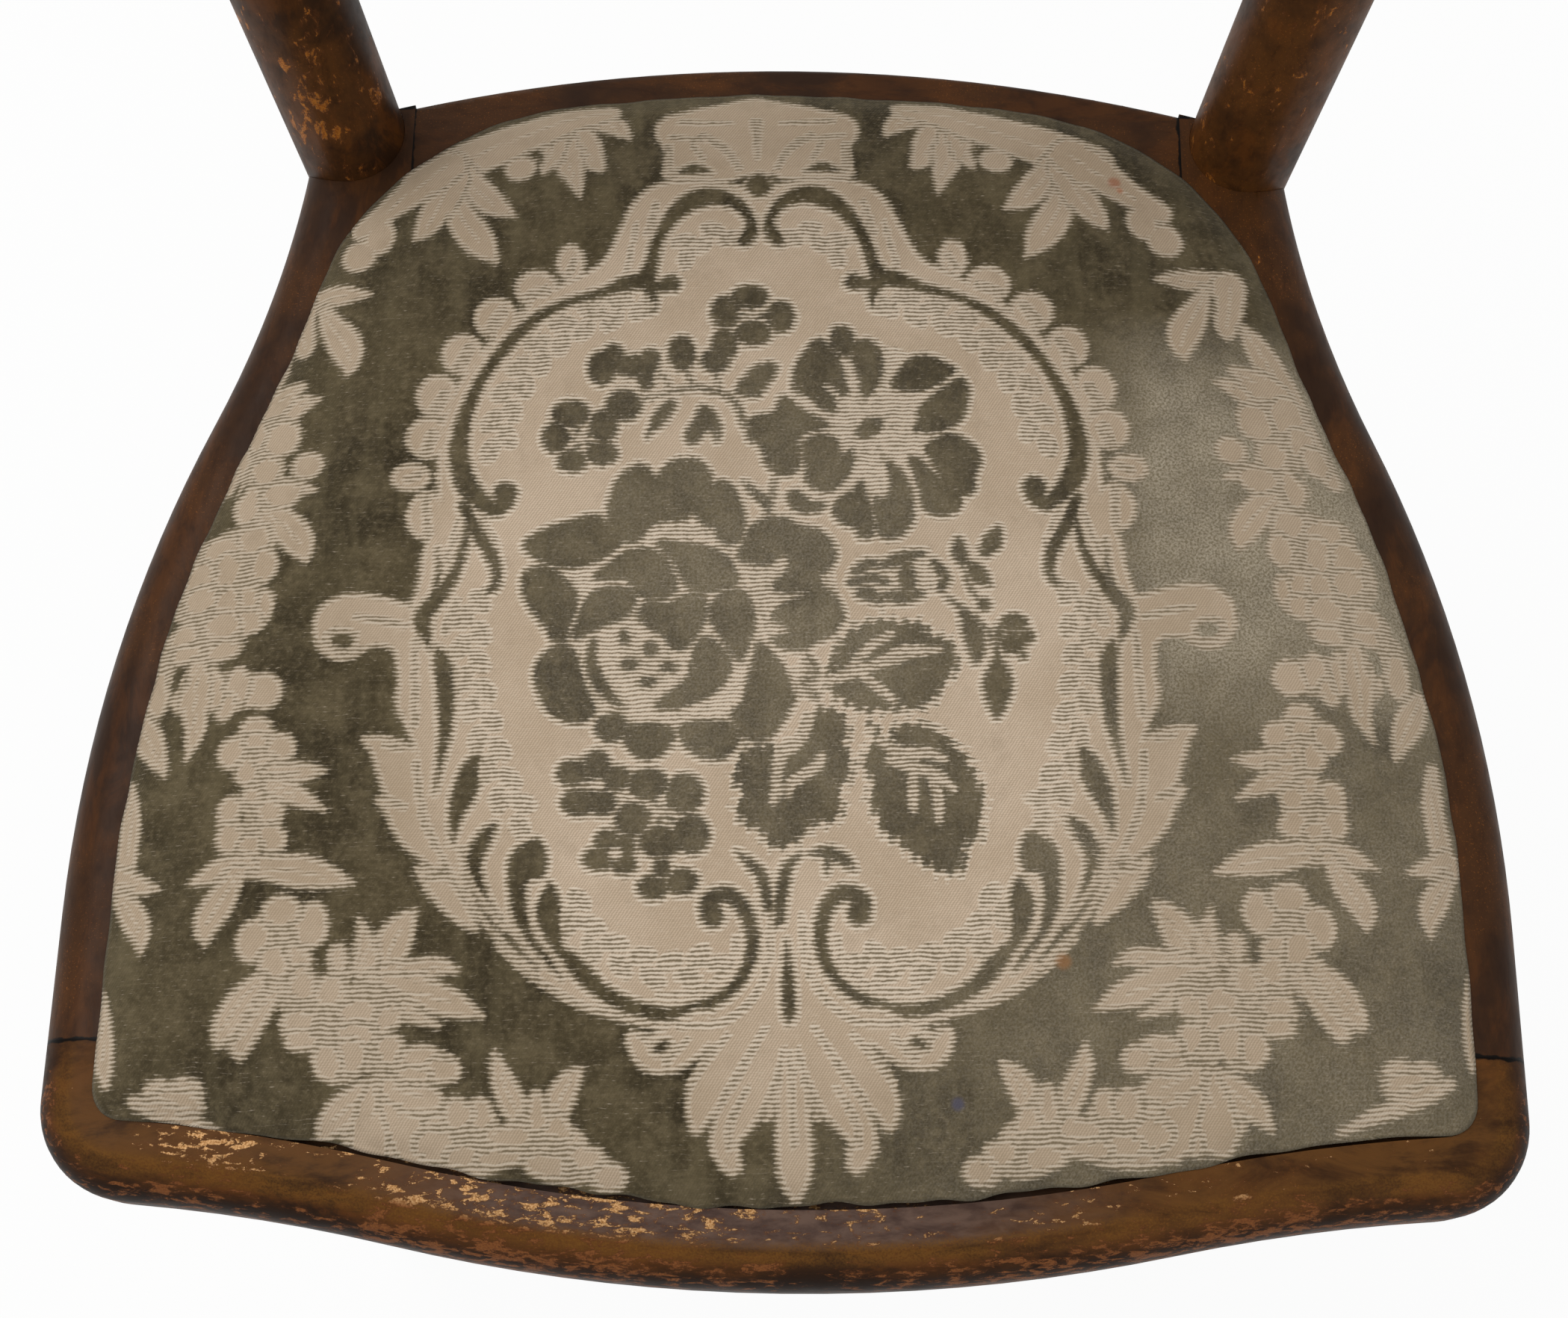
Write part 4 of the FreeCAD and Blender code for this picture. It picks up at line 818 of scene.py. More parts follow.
# %% The side garlands
def garland():
    # Sprays along the back edge
    for leaf in [
        [(60, 168, 4.5), (50, 167, 4), (44, 164, 3.2), (40.3, 159.5, 0.6)],
        [(62, 166, 5), (56, 158.5, 6), (52, 151, 4), (49, 146.5, 1.4)],
        [(62, 160, 4), (59.5, 150, 4.4), (57, 143, 2.8), (55.5, 136, 0.4)],
        [(64, 160, 4), (65, 151, 2.8), (67, 145.5, 0.5)],
        [(46, 171, 3), (60, 168, 5), (75, 161, 7), (90, 155, 8), (104, 149, 8)],
        [(96, 150, 5), (89, 142, 5), (82, 134.5, 4), (75.5, 130, 0.4)],
        [(96, 141, 3), (91.5, 129, 4.8), (86.5, 121, 4.8), (80.8, 113, 0.4)],
        [(96, 146, 5), (100, 135, 5), (103.5, 128, 3.4), (106.5, 123.5, 0.4)],
        [(98, 152, 6), (108, 143.5, 6), (117, 136, 4.5), (124, 131, 4)],
    ]:
        leaf_on(leaf)
    ground(oval(74.2, 148.8, 5, 4.7, twin=True))
    ground(oval(118.2, 126.5, 5, 6.3, twin=True))
    ground(oval(124.5, 120.5, 5.6, 6, twin=True))
    pile(stroke([(67.5, 150, 0.5), (68.5, 154, 1.4), (72.5, 154.6, 0.5)], twin=True))
    # Spray at the waist of the seat
    for leaf in [
        [(144, 105, 5), (135, 106.5, 4.2), (128, 106.5, 3), (120, 105.6, 0.4)],
        [(135, 102, 2), (131.5, 95, 4), (127.5, 88.5, 5.2), (125.8, 83, 3.4), (126.5, 78.3, 0.4)],
        [(144, 106, 5), (142.5, 97, 4.4), (141, 91, 3.6), (140.5, 87, 0.5)],
        [(147, 91, 1.5), (150.5, 84, 4.4), (156, 74, 5), (160, 64, 5)],
        [(135, 71.2, 0.4), (141, 70, 3.2), (149, 67, 6)],
        [(141, 76, 1.5), (148, 73, 4), (154, 68, 5)],
        [(152, 42, 4), (143, 41.5, 3.4), (134.5, 40, 0.5)],
        [(152, 36, 4.5), (143.5, 29, 5), (138.5, 23, 4.3), (136.3, 16.8, 0.4)],
        [(160, 60, 5), (164, 50, 5), (169, 41, 3)],
    ]:
        leaf_on(leaf)
    # Flowers hanging down the side
    flowers_on([
        (150, 60, 11, 9), (152, 48, 8, 10), (146, 40, 8, 6), (155, 38, 6, 9), (157, 23, 12, 8),
        (166, 22, 8, 7), (154, 16, 10, 7), (155, 3, 10, 9), (165, 6, 10, 12), (173, 10, 6, 10),
        (164, -8, 11, 5), (174, -6, 7, 7), (157, -22, 13, 7), (168, -20, 7, 7), (180, -16, 5, 9),
        (149, -40, 10, 7), (149, -47, 7, 5), (150, -62, 10.5, 9), (149, -74, 9, 4), (140, -94, 11, 9),
        (139, -103, 8, 5),
    ], [
        (146, 58.5, 5.6, 5.6), (157, 62, 5, 6), (160, 53, 4, 5), (137.6, 48.6, 5, 4.6),
        (150.6, 48.4, 4, 4), (164, 47, 4, 5), (145, 40, 5.6, 3.6), (156, 38, 3.2, 6.4),
        (152.4, 26, 4.6, 4.6), (163.6, 23.4, 5.4, 4), (148.6, 17, 3.8, 5), (160.6, 16.6, 3.6, 5),
        (170, 16, 4.6, 4.6), (148.4, 4.4, 2.8, 4.8), (154, 6.6, 2.8, 4), (153.4, -1, 3.8, 3.6),
        (160, 6, 3, 4), (161, -1.6, 4.8, 4.2), (169, 8, 4.6, 3.8), (173, -3, 4, 4), (160.6, -9.4, 5, 2.6),
        (171.4, -9.4, 4.4, 2.6), (147.4, -22.6, 5.4, 5.6), (155, -20, 3, 5.4), (159, -27, 3, 4),
        (163, -20.6, 2.8, 7), (172.6, -22.4, 3, 5), (180.6, -21, 4, 7), (142, -40, 4.6, 4.4),
        (149, -33.4, 4.4, 3), (149, -37.6, 3, 1.8), (156.4, -41, 3.8, 4.6), (145.6, -46.6, 3.6, 4),
        (151.6, -46.4, 2.6, 3.4), (144.4, -57.4, 4.4, 4.6), (155, -58, 4.4, 4.6),
        (143.6, -66.4, 4.4, 3.8), (155, -66.2, 4.4, 4.2), (149.6, -69, 2.8, 3), (149.6, -53.6, 3, 2.6),
        (131, -91, 4.4, 6.4), (140, -86.6, 5.4, 4), (148, -95.4, 4.4, 6), (135, -101.4, 4.4, 3.8),
        (142, -102, 3.8, 4.8),
    ])
    for leaf in [
        [(168, -14, 3), (168.3, -25, 4), (167.6, -33, 3), (170, -41.5, 0.4)],
        [(187, -27, 3), (182.5, -34, 4.6), (178.5, -41, 2.6), (176.3, -46, 0.4)],
        [(143, -47.5, 3), (136, -47.3, 2.9), (128.6, -47, 0.4)],
        [(144, -51, 2.5), (137, -54, 2.9), (128.6, -58.3, 0.4)],
        [(146, -74.5, 3), (136, -75.6, 4.6), (127.5, -77.5, 3.2), (120.3, -79.6, 0.4)],
        [(151, -73.5, 2.6), (158, -75.2, 3.3), (166.5, -78.4, 0.4)],
        [(152.5, -76, 1.8), (157.5, -84, 4.2), (161, -90, 3.6), (161.3, -96, 0.4)],
        [(188, -48, 2), (186.5, -58, 3.4), (187, -68, 3.6), (188, -76, 4)],
        [(190, -76, 4), (183, -77.4, 3), (176, -79, 0.4)],
        [(188, -81, 2.4), (183.5, -86.5, 4), (181, -91, 3), (180.4, -97, 0.4)],
        [(192, -107, 0.6), (191.5, -117, 3.2), (190.5, -126, 3.4), (189, -133, 1)],
    ]:
        leaf_on(leaf)
    for seed in [(148.4, -61.8, 0.8, 2.6), (152, -60.6, 0.8, 2.4)]:
        pile(oval(*seed, twin=True), 0.4)
    pile(oval(143.6, 48.4, 1.3, 2.4, twin=True))
    pile(stroke([(155.5, 45.5, 0.6), (158.5, 42, 1.3), (163, 38, 2.5)], twin=True))
    pile(oval(174.3, -17, 3.4, 4, twin=True))
    pile(oval(166, -7.6, 1.3, 1.3, twin=True))


garland()
drawn("the side garlands")

# %% [markdown]
# ## The front garlands
# The garlands turn in along the front edge and end in larger flowers. They are made like those at the
# sides.

# %% The front garlands
def lower_garland():
    for middle in [(110, -147, 14, 9), (92, -154, 14, 5), (99, -147, 8, 6), (66, -152, 10, 7),
    (116, -108, 8, 5)]:
        ground(oval(*middle, twin=True))
    for leaf in [
        [(113, -108, 4), (109.5, -98.5, 5), (106.5, -92.5, 3.8), (103, -88, 0.8)],
        [(117, -107, 3.4), (116.3, -98, 2.8), (117.8, -89.6, 0.5)],
        [(124, -106, 2), (124, -100, 2.6), (123.4, -97, 0.6)],
        [(113, -107, 3), (102, -104.6, 3.6), (95.5, -103, 2.2), (90.5, -104.6, 0.4)],
        [(114, -110, 4), (102, -110.4, 4.4), (93, -113, 3.8), (83.8, -117, 0.5)],
        [(108, -114, 2.6), (102, -116.6, 2), (96, -119.2, 0.4)],
        [(141, -109, 2.4), (146.5, -116, 3.6), (150.5, -122, 3.6), (151, -127, 0.6)],
        [(146, -107, 2.6), (151.5, -113, 3.6), (155.3, -119.5, 3), (157, -124, 0.5)],
        [(113, -134, 2.5), (120, -139, 4), (126, -143.4, 3.6), (131, -149.4, 0.6)],
        [(112, -135, 3), (115, -143, 4), (117, -152, 4.4)],
        [(110, -135, 3), (107, -143, 4), (103, -153, 4.6)],
        [(109, -135, 3), (101, -138, 4), (95, -139.5, 1)],
        [(66, -146, 3.4), (63.2, -139, 3.8), (60, -134, 2.6), (57.2, -131.4, 0.5)],
        [(72, -147, 3.4), (76.6, -139, 3.6), (79.6, -132, 2.5), (80.6, -126.4, 0.4)],
    ]:
        leaf_on(leaf)
    flowers_on([
        (115, -112, 11, 6), (120, -119, 12, 8), (133, -112, 7, 9), (133, -120, 7, 6), (113, -126, 9, 6),
        (124, -128, 8, 7), (100, -130, 11, 5), (88, -146, 9, 7), (70, -147, 9, 6), (98, -150, 8, 6),
        (80, -152, 12, 5), (62, -156, 11, 6), (51, -159.4, 6, 4.6),
    ], [
        (118, -115.4, 4.4, 3), (119, -121.4, 4.8, 2.8), (126, -109.4, 3.8, 4.4), (133.4, -107, 3.2, 4),
        (135, -117.8, 4.4, 3), (134, -123, 4.4, 2.4), (109.6, -117, 3.4, 3), (109, -125, 3.4, 3.8),
        (120.6, -127, 3.8, 4), (127.2, -128.6, 3.4, 4.6), (101, -127.6, 5.6, 3.4), (95, -131.4, 4.8, 3),
        (103.6, -132.2, 4.4, 1.8), (85.4, -142, 3.6, 3.8), (91.6, -142, 3.6, 4), (78, -148.6, 5.4, 2.8),
        (98, -150.4, 4.6, 3.6), (89.6, -153.4, 5, 2.2), (64, -146.6, 3.4, 3), (80, -154.4, 6, 2),
        (68.4, -156.4, 5.4, 2.8), (56, -154.4, 4.6, 2.8), (50, -159.4, 4.2, 2.8), (69.5, -141.6, 2.4, 5),
        (173.4, -135.6, 4.6, 3.6), (166.4, -136, 5, 4.4), (170, -139, 8.4, 3.4),
    ])
    leaf_on([(181, -137.6, 1.4), (171, -142, 2.4), (160, -146, 1.8), (150, -150, 0.8)])
    ground(oval(126.8, -119, 1.7, 1.4, twin=True))
    pile(oval(65.6, -150.6, 1.7, 1.5, twin=True))
    pile(oval(119.6, -107, 0.9, 2.6, twin=True))


lower_garland()
drawn("the front garlands")

# %% [markdown]
# ## The rose
# The bouquet is pile on the pale shield, so it is drawn the other way round: each petal is a dark
# outline, a little grown, and the ground that is left between the petals draws them.

# %% The rose
def rose():
    for petal in [
        [(-47, 24), (-47.6, 30), (-46, 37), (-43, 42), (-38, 44.6), (-35, 42.4), (-33.4, 40.4),
         (-31, 43.4), (-27, 46), (-21.5, 46), (-18, 42), (-17, 38.4), (-14, 39), (-11, 37), (-9, 32),
         (-8, 26), (-9.5, 21), (-13, 19.4), (-16.5, 22.4), (-20, 26), (-23, 29.4), (-26, 27), (-31, 27),
         (-36, 25), (-39, 21), (-43, 20.6)],
        [(-72, 20), (-66, 24.6), (-58, 27.4), (-52, 29), (-47.4, 26), (-44, 21), (-47, 17.4), (-52, 14.6),
         (-58, 13), (-63, 13.5), (-68, 15.6)],
        [(-72.6, 8), (-71, 12), (-66, 13), (-62, 10.6), (-57.6, 5), (-57.4, 0), (-59.4, -5), (-60.5, -10),
         (-64, -9), (-66.5, -4.4), (-71, 2)],
        [(-63, -11.4), (-67.4, -15), (-69, -20), (-67.5, -26), (-64.5, -31), (-58, -34), (-53, -32),
         (-52.8, -28), (-55.4, -23), (-56.6, -17), (-59, -12)],
        [(-52, -36), (-50, -32.4), (-45.4, -32), (-43, -35), (-45, -38.6), (-49, -39.6)],
        [(-44, -38), (-42.6, -35.4), (-36, -35), (-31, -36), (-30, -39), (-33, -43), (-38, -45),
         (-42, -42.4)],
        [(-28, -36), (-22, -34.4), (-14, -35), (-11, -37), (-12, -41), (-16, -45), (-21, -45), (-26, -42)],
        [(-52, 9.6), (-48, 13.4), (-43, 17), (-37, 18.4), (-32, 16), (-29.4, 11), (-28.4, 6.6),
         (-30, 3.6), (-35, 3), (-40, 5), (-42.4, 9), (-46, 9)],
        [(-33, 20.4), (-27, 20), (-20, 18.8), (-14, 16), (-11, 11), (-11, 7), (-14, 6), (-19, 4.6),
         (-24, 5.6), (-26.6, 10), (-28.4, 14), (-31, 17)],
        [(-54, 3), (-50, 6), (-45, 6.4), (-41, 5), (-40.4, 2), (-43, -2.6), (-49, -5), (-53, -7),
         (-57.6, -9), (-57, -4)],
        [(-38.4, 0.4), (-36, 2), (-30, 1.4), (-25, 4), (-20.6, 3), (-20, -2), (-22, -7), (-26, -12),
         (-30, -12), (-32, -8.4), (-36, -6), (-39, -3)],
        [(-18, 1), (-15, 4.4), (-10, 5.4), (-7, 2), (-6, -4), (-7.4, -10), (-10, -16), (-13, -13),
         (-16, -8), (-18.4, -4)],
        [(-20, -9), (-16, -12), (-13, -17), (-15, -22), (-19, -26), (-25, -29), (-31, -30.4),
         (-34.6, -29.4), (-31, -26), (-26, -22), (-24.4, -17), (-23, -12)],
        [(-5, -11), (0, -16), (3, -22), (4.4, -28), (1, -34), (-3, -39), (-8, -40), (-12, -36),
         (-13, -31.6), (-10, -29), (-8.4, -23), (-6.4, -16)],
    ]:
        pile(area(petal), 1.0)
    pile(stroke([(-52.4, -10, 1.6), (-53, -16, 2.2), (-51, -22, 2.6), (-47, -27.4, 1.8),
                 (-43, -30.4, 0.5)]))
    for seed in [(-43.4, -9, 1.8, 2.8), (-42, -17, 2.8, 2.2), (-36, -12.4, 2.4, 2.6),
    (-37, -22.4, 2.8, 1.8), (-31, -18, 2.8, 1.8)]:
        pile(oval(*seed), 0.3)


rose()
drawn("the rose")

# %% [markdown]
# ## The open flower
# Beside the rose is a flower seen from above, with long petals round an oval heart.

# %% The open flower
def open_flower():
    for petal in [
        [(8, 68.4), (8.4, 75), (12, 81.4), (15.5, 85), (19, 84), (22, 79), (23.4, 74), (24.4, 68),
         (22.6, 66), (19.4, 69.6), (17, 70), (20, 66), (20.6, 60.6), (16, 62), (13, 65.4)],
        [(20, 82), (20.4, 88), (23.4, 89.6), (26, 88), (27, 83), (24, 79)],
        [(25, 80), (27, 84), (31, 85), (34.4, 82), (35.4, 77), (34, 71), (31, 66.4), (28, 66), (27.6, 71),
         (26.4, 76)],
        [(37, 69.6), (40, 75), (44, 79), (49, 79.4), (54, 77), (57, 74.4), (54, 71.6), (49, 68.6),
         (43, 67.4)],
        [(45, 62), (49, 66), (54, 70), (58, 72), (60.4, 69), (59.6, 63), (58, 58.4), (54, 55.6), (48, 54),
         (43, 55), (44.6, 58.4)],
        [(46, 49), (49, 52), (54, 54), (60, 50.6), (62.6, 45.6), (60.6, 40), (60, 35.4), (56, 33.6),
         (51, 37), (49, 43)],
        [(41, 46), (44, 46.4), (48, 42), (52, 38), (56, 34), (55, 29.6), (50, 27.4), (45, 29.6),
         (43.4, 35), (42.4, 41)],
        [(34, 46), (38, 43), (41, 38), (42, 31), (41, 25), (36, 20.4), (31, 22), (30, 28), (30.4, 34),
         (33.6, 33.4), (35.4, 39)],
        [(27, 39.4), (28.6, 34), (30, 28), (30, 22), (26, 20.6), (24, 24), (20, 26), (18, 30), (20.6, 34),
         (24, 36)],
        [(5, 35), (8, 36.4), (12, 33), (16.4, 32), (14, 29.6), (9, 29), (6, 31)],
        [(9.4, 50), (12, 53), (17, 54), (20.6, 52), (21.8, 48), (25, 49.4), (25, 44), (22, 39),
         (18, 35.6), (13, 36.4), (10.4, 40), (10.6, 45)],
        [(-6, 57), (-4, 60), (2, 61.4), (4, 66), (7, 65.4), (10, 62.4), (14, 60), (18, 57.4), (17, 55.4),
         (11, 54), (9, 51), (9.4, 46), (8, 42), (3, 41), (-1, 45), (-2.4, 50), (-6, 52.6)],
    ]:
        pile(area(petal), 0.5)
    pile(oval(30, 55.8, 5.2, 3.4, 35))


open_flower()
drawn("the open flower")

# %% [markdown]
# ## The wild rose
# Between the rose and its leaves a smaller flower shows two petals.

# %% The wild rose
def wild_rose():
    for petal in [
        [(-10, 17), (-7, 24), (-2, 27.4), (4, 28), (8, 25.4), (13, 24.4), (17, 21), (18.6, 16), (17, 12),
         (14, 9), (14.6, 5.6), (9, 4), (3, 4), (-2, 6), (2, 9.4), (4.4, 13), (3, 15.4), (-1, 12.8),
         (-6, 13), (-10, 14.4)],
        [(-1, -2), (3, 1.4), (8, 3.4), (12, 6), (16, 5), (19, 1), (20, -4), (17, -8.4), (12, -11),
         (8, -13.4), (2, -13), (-1.6, -9.6), (4, -7.6), (0, -4.6)],
    ]:
        pile(area(petal), 0.5)


wild_rose()
drawn("the wild rose")

# %% [markdown]
# ## The small flowers
# Small flowers are dark ovals round a pale heart, joined by thin stems. They fill the corners of the
# shield.

# %% The small flowers
def small_flowers():
    for across, along, half_width, half_height in [
        (-4, 99.6, 4.6, 3), (5, 93, 3.2, 4.3), (-3.4, 87.6, 4.5, 3.2), (-11.6, 94.4, 3.3, 4.6),
        (-12, 84, 2.9, 4), (-15, 78.6, 3.4, 3), (-58.4, 61.6, 4.8, 3.4), (-63, 54, 3, 4),
        (-58.2, 46.4, 3.2, 2.7), (-49.4, 48.8, 3.7, 2.8), (-48.8, 57.4, 3.3, 4.2), (-49, 76.4, 3.2, 4.6),
        (-45.6, 81, 2, 2.4), (-39, 77, 6, 2.9), (-34.4, 79, 1.8, 2.8), (-36, 72.6, 1.6, 2.6),
        (-42.6, 64, 4.3, 4.2), (-25, 81, 3, 4.7), (-58.6, -49, 3.5, 2.9), (-51.8, -46.6, 2.9, 3.4),
        (-46.4, -50.6, 3.4, 2.7), (-57, -57.4, 3.9, 3), (-50.4, -57.6, 3.2, 2.9),
        (-37.4, -52.4, 4.8, 3.6), (-27.2, -55.4, 4.4, 4.8), (-42, -62.6, 4, 4), (-25.6, -67, 4, 4.8),
        (-34.4, -69.2, 5, 3.5), (-49, -69, 2.7, 2.6), (-44.4, -70.4, 2.2, 2.8), (-51, -73.8, 4, 2.3),
        (-44.6, -75.4, 2.5, 1.9), (-28.4, -80.4, 3.4, 2.7), (-36.6, -82, 3.2, 2.4), (-34, -76.6, 1.3, 1.9),
    ]:
        pile(oval(across, along, half_width, half_height), 1.5)
    for across, along, petals in [
        (-51.4, -52.6, [(-58, -49.5), (-52, -47), (-46.6, -50.6), (-56, -57), (-50, -57)]),
        (-34.6, -60.6, [(-37.4, -53), (-28, -56), (-41, -62), (-26.4, -66), (-34.4, -68.6)]),
        (-47, -72.4, [(-49, -69.6), (-44.6, -70.4), (-50, -73.6), (-45, -75)]), (-55.6, 53.6, [(-58, 60),
        (-62, 54), (-58, 47), (-50, 49.4), (-49.4, 56.6)]), (-3.6, 93.6, [(-4, 99), (4, 93), (-3.4, 88),
        (-11, 94)]),
    ]:
        for x, y in petals:
            pile(stroke([(across, along, 0.8), (x, y, 1.8)]))
        ground(oval(across, along, 1.5, 1.3))
    pile(area([(-24, 51), (-25, 55), (-22, 60), (-20, 64.4), (-16, 63), (-13.6, 58), (-14, 53),
               (-15.6, 51.4), (-17, 55), (-19, 54), (-21, 51.4)]))
    pile(area([(-10, 68), (-8, 72), (-4, 76.4), (1, 78), (4, 76.4), (3, 73), (0, 69), (-2, 66), (-6, 66)]))
    for stem in [
        [(-28.6, 64.4, 2), (-32, 60, 2.5), (-36, 54, 0.7)],
        [(-7, 57, 1.2), (-9, 64, 1.3), (-13, 67.6, 1), (-20, 69.6, 1.2), (-27, 69, 0.8), (-33, 67, 0.7),
         (-38, 66, 0.7)],
        [(-14, 68, 0.7), (-15, 75, 0.9)],
        [(-22, 70, 0.7), (-24, 77, 1)],
        [(-28, 69, 0.6), (-31, 74, 0.7), (-33, 76, 0.7)],
        [(-7.6, 39.4, 0.7), (-5, 36, 1.7), (-2, 33, 1.9), (-0.5, 29, 1.2)],
        [(1, 39, 0.9), (0.5, 35, 1.1), (-0.5, 30, 1.1)],
        [(-13, -72, 0.7), (-9, -76, 1.7), (-6, -80, 1.9), (-4.6, -88, 1.9)],
        [(5, -73, 0.7), (1, -77, 1.9), (-1, -84, 2.1), (-2, -92, 1.8)],
        [(7.6, -73, 0.8), (13, -73, 2.2), (17.6, -75.6, 1.8), (19.6, -78, 0.7)],
        [(12.6, -74, 1.6), (11.6, -79, 0.6)],
    ]:
        pile(stroke(stem))


small_flowers()
drawn("the small flowers")

# %% [markdown]
# ## Leaves and bud
# Three big leaves have lobed edges and pale veins, and a bud on a sprig leans out to the right. The lobes
# come from a wave added to the distance from the outline, which is quicker than drawing every lobe.

# %% Leaves and bud
def leaves():
    for leaf in [
        [(15, -20), (18, -12), (24, -6.4), (31, -4.4), (36, -5.4), (42, -5.4), (45, -9), (49.6, -11),
         (51.6, -16), (51, -20), (47, -24), (44, -29), (38, -31.4), (31, -31.4), (24, -31.4), (18, -28),
         (15, -25)],
        [(14, -31), (18, -33), (19.6, -38), (18, -41.4), (20, -46), (19, -52), (16, -54), (16.6, -61),
         (13, -64), (9, -64.4), (5, -68), (0, -71), (-4, -70), (-6, -66), (-10, -64.4), (-12.6, -60),
         (-10.4, -56), (-13, -52), (-12, -48), (-9.4, -43), (-4, -41), (0, -43), (6, -38), (9, -33)],
        [(26, -35), (30.4, -41), (33, -37), (37, -36), (43, -37), (48, -41), (52, -46), (55, -52),
         (56.6, -58), (55, -65), (55, -69), (51, -71), (50, -77), (46, -79), (40, -76.4), (36, -73.4),
         (33, -70), (29, -68), (27, -63), (25, -58), (26, -52), (23.6, -48), (25, -43), (27, -40)],
    ]:
        pile(lobed(area(leaf), 1.5, 5.2), 0.9)
    for vein in [
        [(14, -23, 0.6), (22, -20.4, 0.9), (30, -17.6, 0.9), (39, -14.6, 0.8), (47, -13.6, 0.3)],
        [(21, -19.4, 0.5), (26.6, -13, 0.7), (33.4, -8.6, 0.3)],
        [(30, -17, 0.5), (36, -13.6, 0.7), (42, -13, 0.3)],
        [(24, -20.6, 0.5), (29.6, -25.6, 0.7), (33, -29, 0.3)],
        [(9, -33, 0.7), (6, -39.6, 1), (0, -45.6, 1), (-2, -58, 0.5)],
        [(12, -44.6, 0.5), (10, -48, 0.8), (3, -52.6, 0.9), (2, -56, 0.4)],
        [(28.6, -40.6, 0.8), (34, -44.4, 1.1), (42, -44.4, 0.9), (46.4, -46.4, 0.4)],
        [(31, -46.6, 0.6), (37, -48.4, 1), (44, -51, 1), (48.4, -55, 0.4)],
        [(37.4, -50, 0.6), (37, -57, 0.8), (37, -61, 0.3)],
        [(43, -52, 0.6), (44, -58, 0.8), (44, -64, 0.3)],
    ]:
        hatch(stroke([(x, y, w + 0.4) for x, y, w in vein]))
        ground(stroke([(x, y, w + 0.2) for x, y, w in vein]))
    # Bud and its sprig
    for piece in [
        [(23.6, 10, 1.2), (27, 12.4, 1.8), (30, 13, 1)],
        [(31, 12, 1.2), (38, 14.4, 2), (44, 16, 0.8)],
        [(22.6, 7, 1.2), (28, 8.4, 1.8), (33, 7, 1)],
        [(38.6, 12, 2), (39, 8, 2.8), (39.4, 5.6, 2)],
        [(25.4, 4, 2), (28, 3.4, 2.3), (31, 1.4, 1)],
        [(33, 3, 1.6), (37.6, 2.8, 2.4), (42.6, 3.6, 1.2)],
        [(46.8, 13, 1.2), (49.6, 9, 1.7), (48.4, 5, 1.2)],
        [(54.6, 20, 1), (54.4, 16.4, 2.3), (55.4, 12.6, 1.2)],
        [(62, 16.4, 1.8), (64.4, 19.6, 2.6), (66.4, 23.6, 0.6)],
        [(57, 12.6, 1.2), (59.6, 9, 2.6), (62, 6, 0.8)],
        [(55, -3, 1.8), (57, -9, 3.2), (57.6, -14, 2.2), (57, -17.6, 0.6)],
        [(63, -12, 0.8), (63.6, -17, 1.4), (63, -24, 4.2), (62.4, -31, 2.2), (62, -34, 0.5)],
        [(9, -15.6, 0.8), (10.4, -20, 2), (8, -24, 1.8), (11, -27, 1)],
        [(50.4, 2, 0.5), (55, -2, 0.8), (61, -8, 0.6), (63, -13, 0.6)],
        [(55.6, 12, 0.6), (57, 5, 0.5), (60, 0, 0.6)],
    ]:
        pile(stroke(piece), 0.4)
    for across, along, half_width, half_height in [
        (60.5, -0.2, 2.3, 2.4), (69, -6, 4.4, 3.3), (72, -10, 2.8, 2.8), (68, -12, 4.2, 3.8),
        (70.6, -15.6, 1.4, 1.8), (64.4, -9, 2.2, 2.8),
    ]:
        pile(oval(across, along, half_width, half_height))


leaves()
drawn("leaves and bud")

# %% [markdown]
# ## Hatching
# Last come the half tones: chains of small leaves inside the border, veins, and the throats of the
# flowers. They are rows of pile and ground by turns, which the eye mixes to a middle tone.

# %% Hatching
def chain(points, pitch, offset, half_width, half_length, twin=True):
    """Small hatched leaves set alternately on both sides of a line."""
    line = curve(points, steps=24)
    way = np.diff(line, axis=0)
    run = np.concatenate([[0], np.cumsum(np.hypot(way[:, 0], way[:, 1]))])
    for i, distance in enumerate(np.arange(pitch / 2, run[-1], pitch)):
        x = np.interp(distance, run, line[:, 0])
        y = np.interp(distance, run, line[:, 1])
        k = min(np.searchsorted(run, distance), len(way)) - 1
        heading = math.atan2(way[k][1], way[k][0])
        side_step = offset * (1 if i % 2 else -1)
        x -= side_step * math.sin(heading)
        y += side_step * math.cos(heading)
        lean = math.degrees(heading) + (25 if i % 2 else -25)
        hatch(oval(x, y, 1.35 * half_length, 1.35 * half_width, lean, twin=twin))


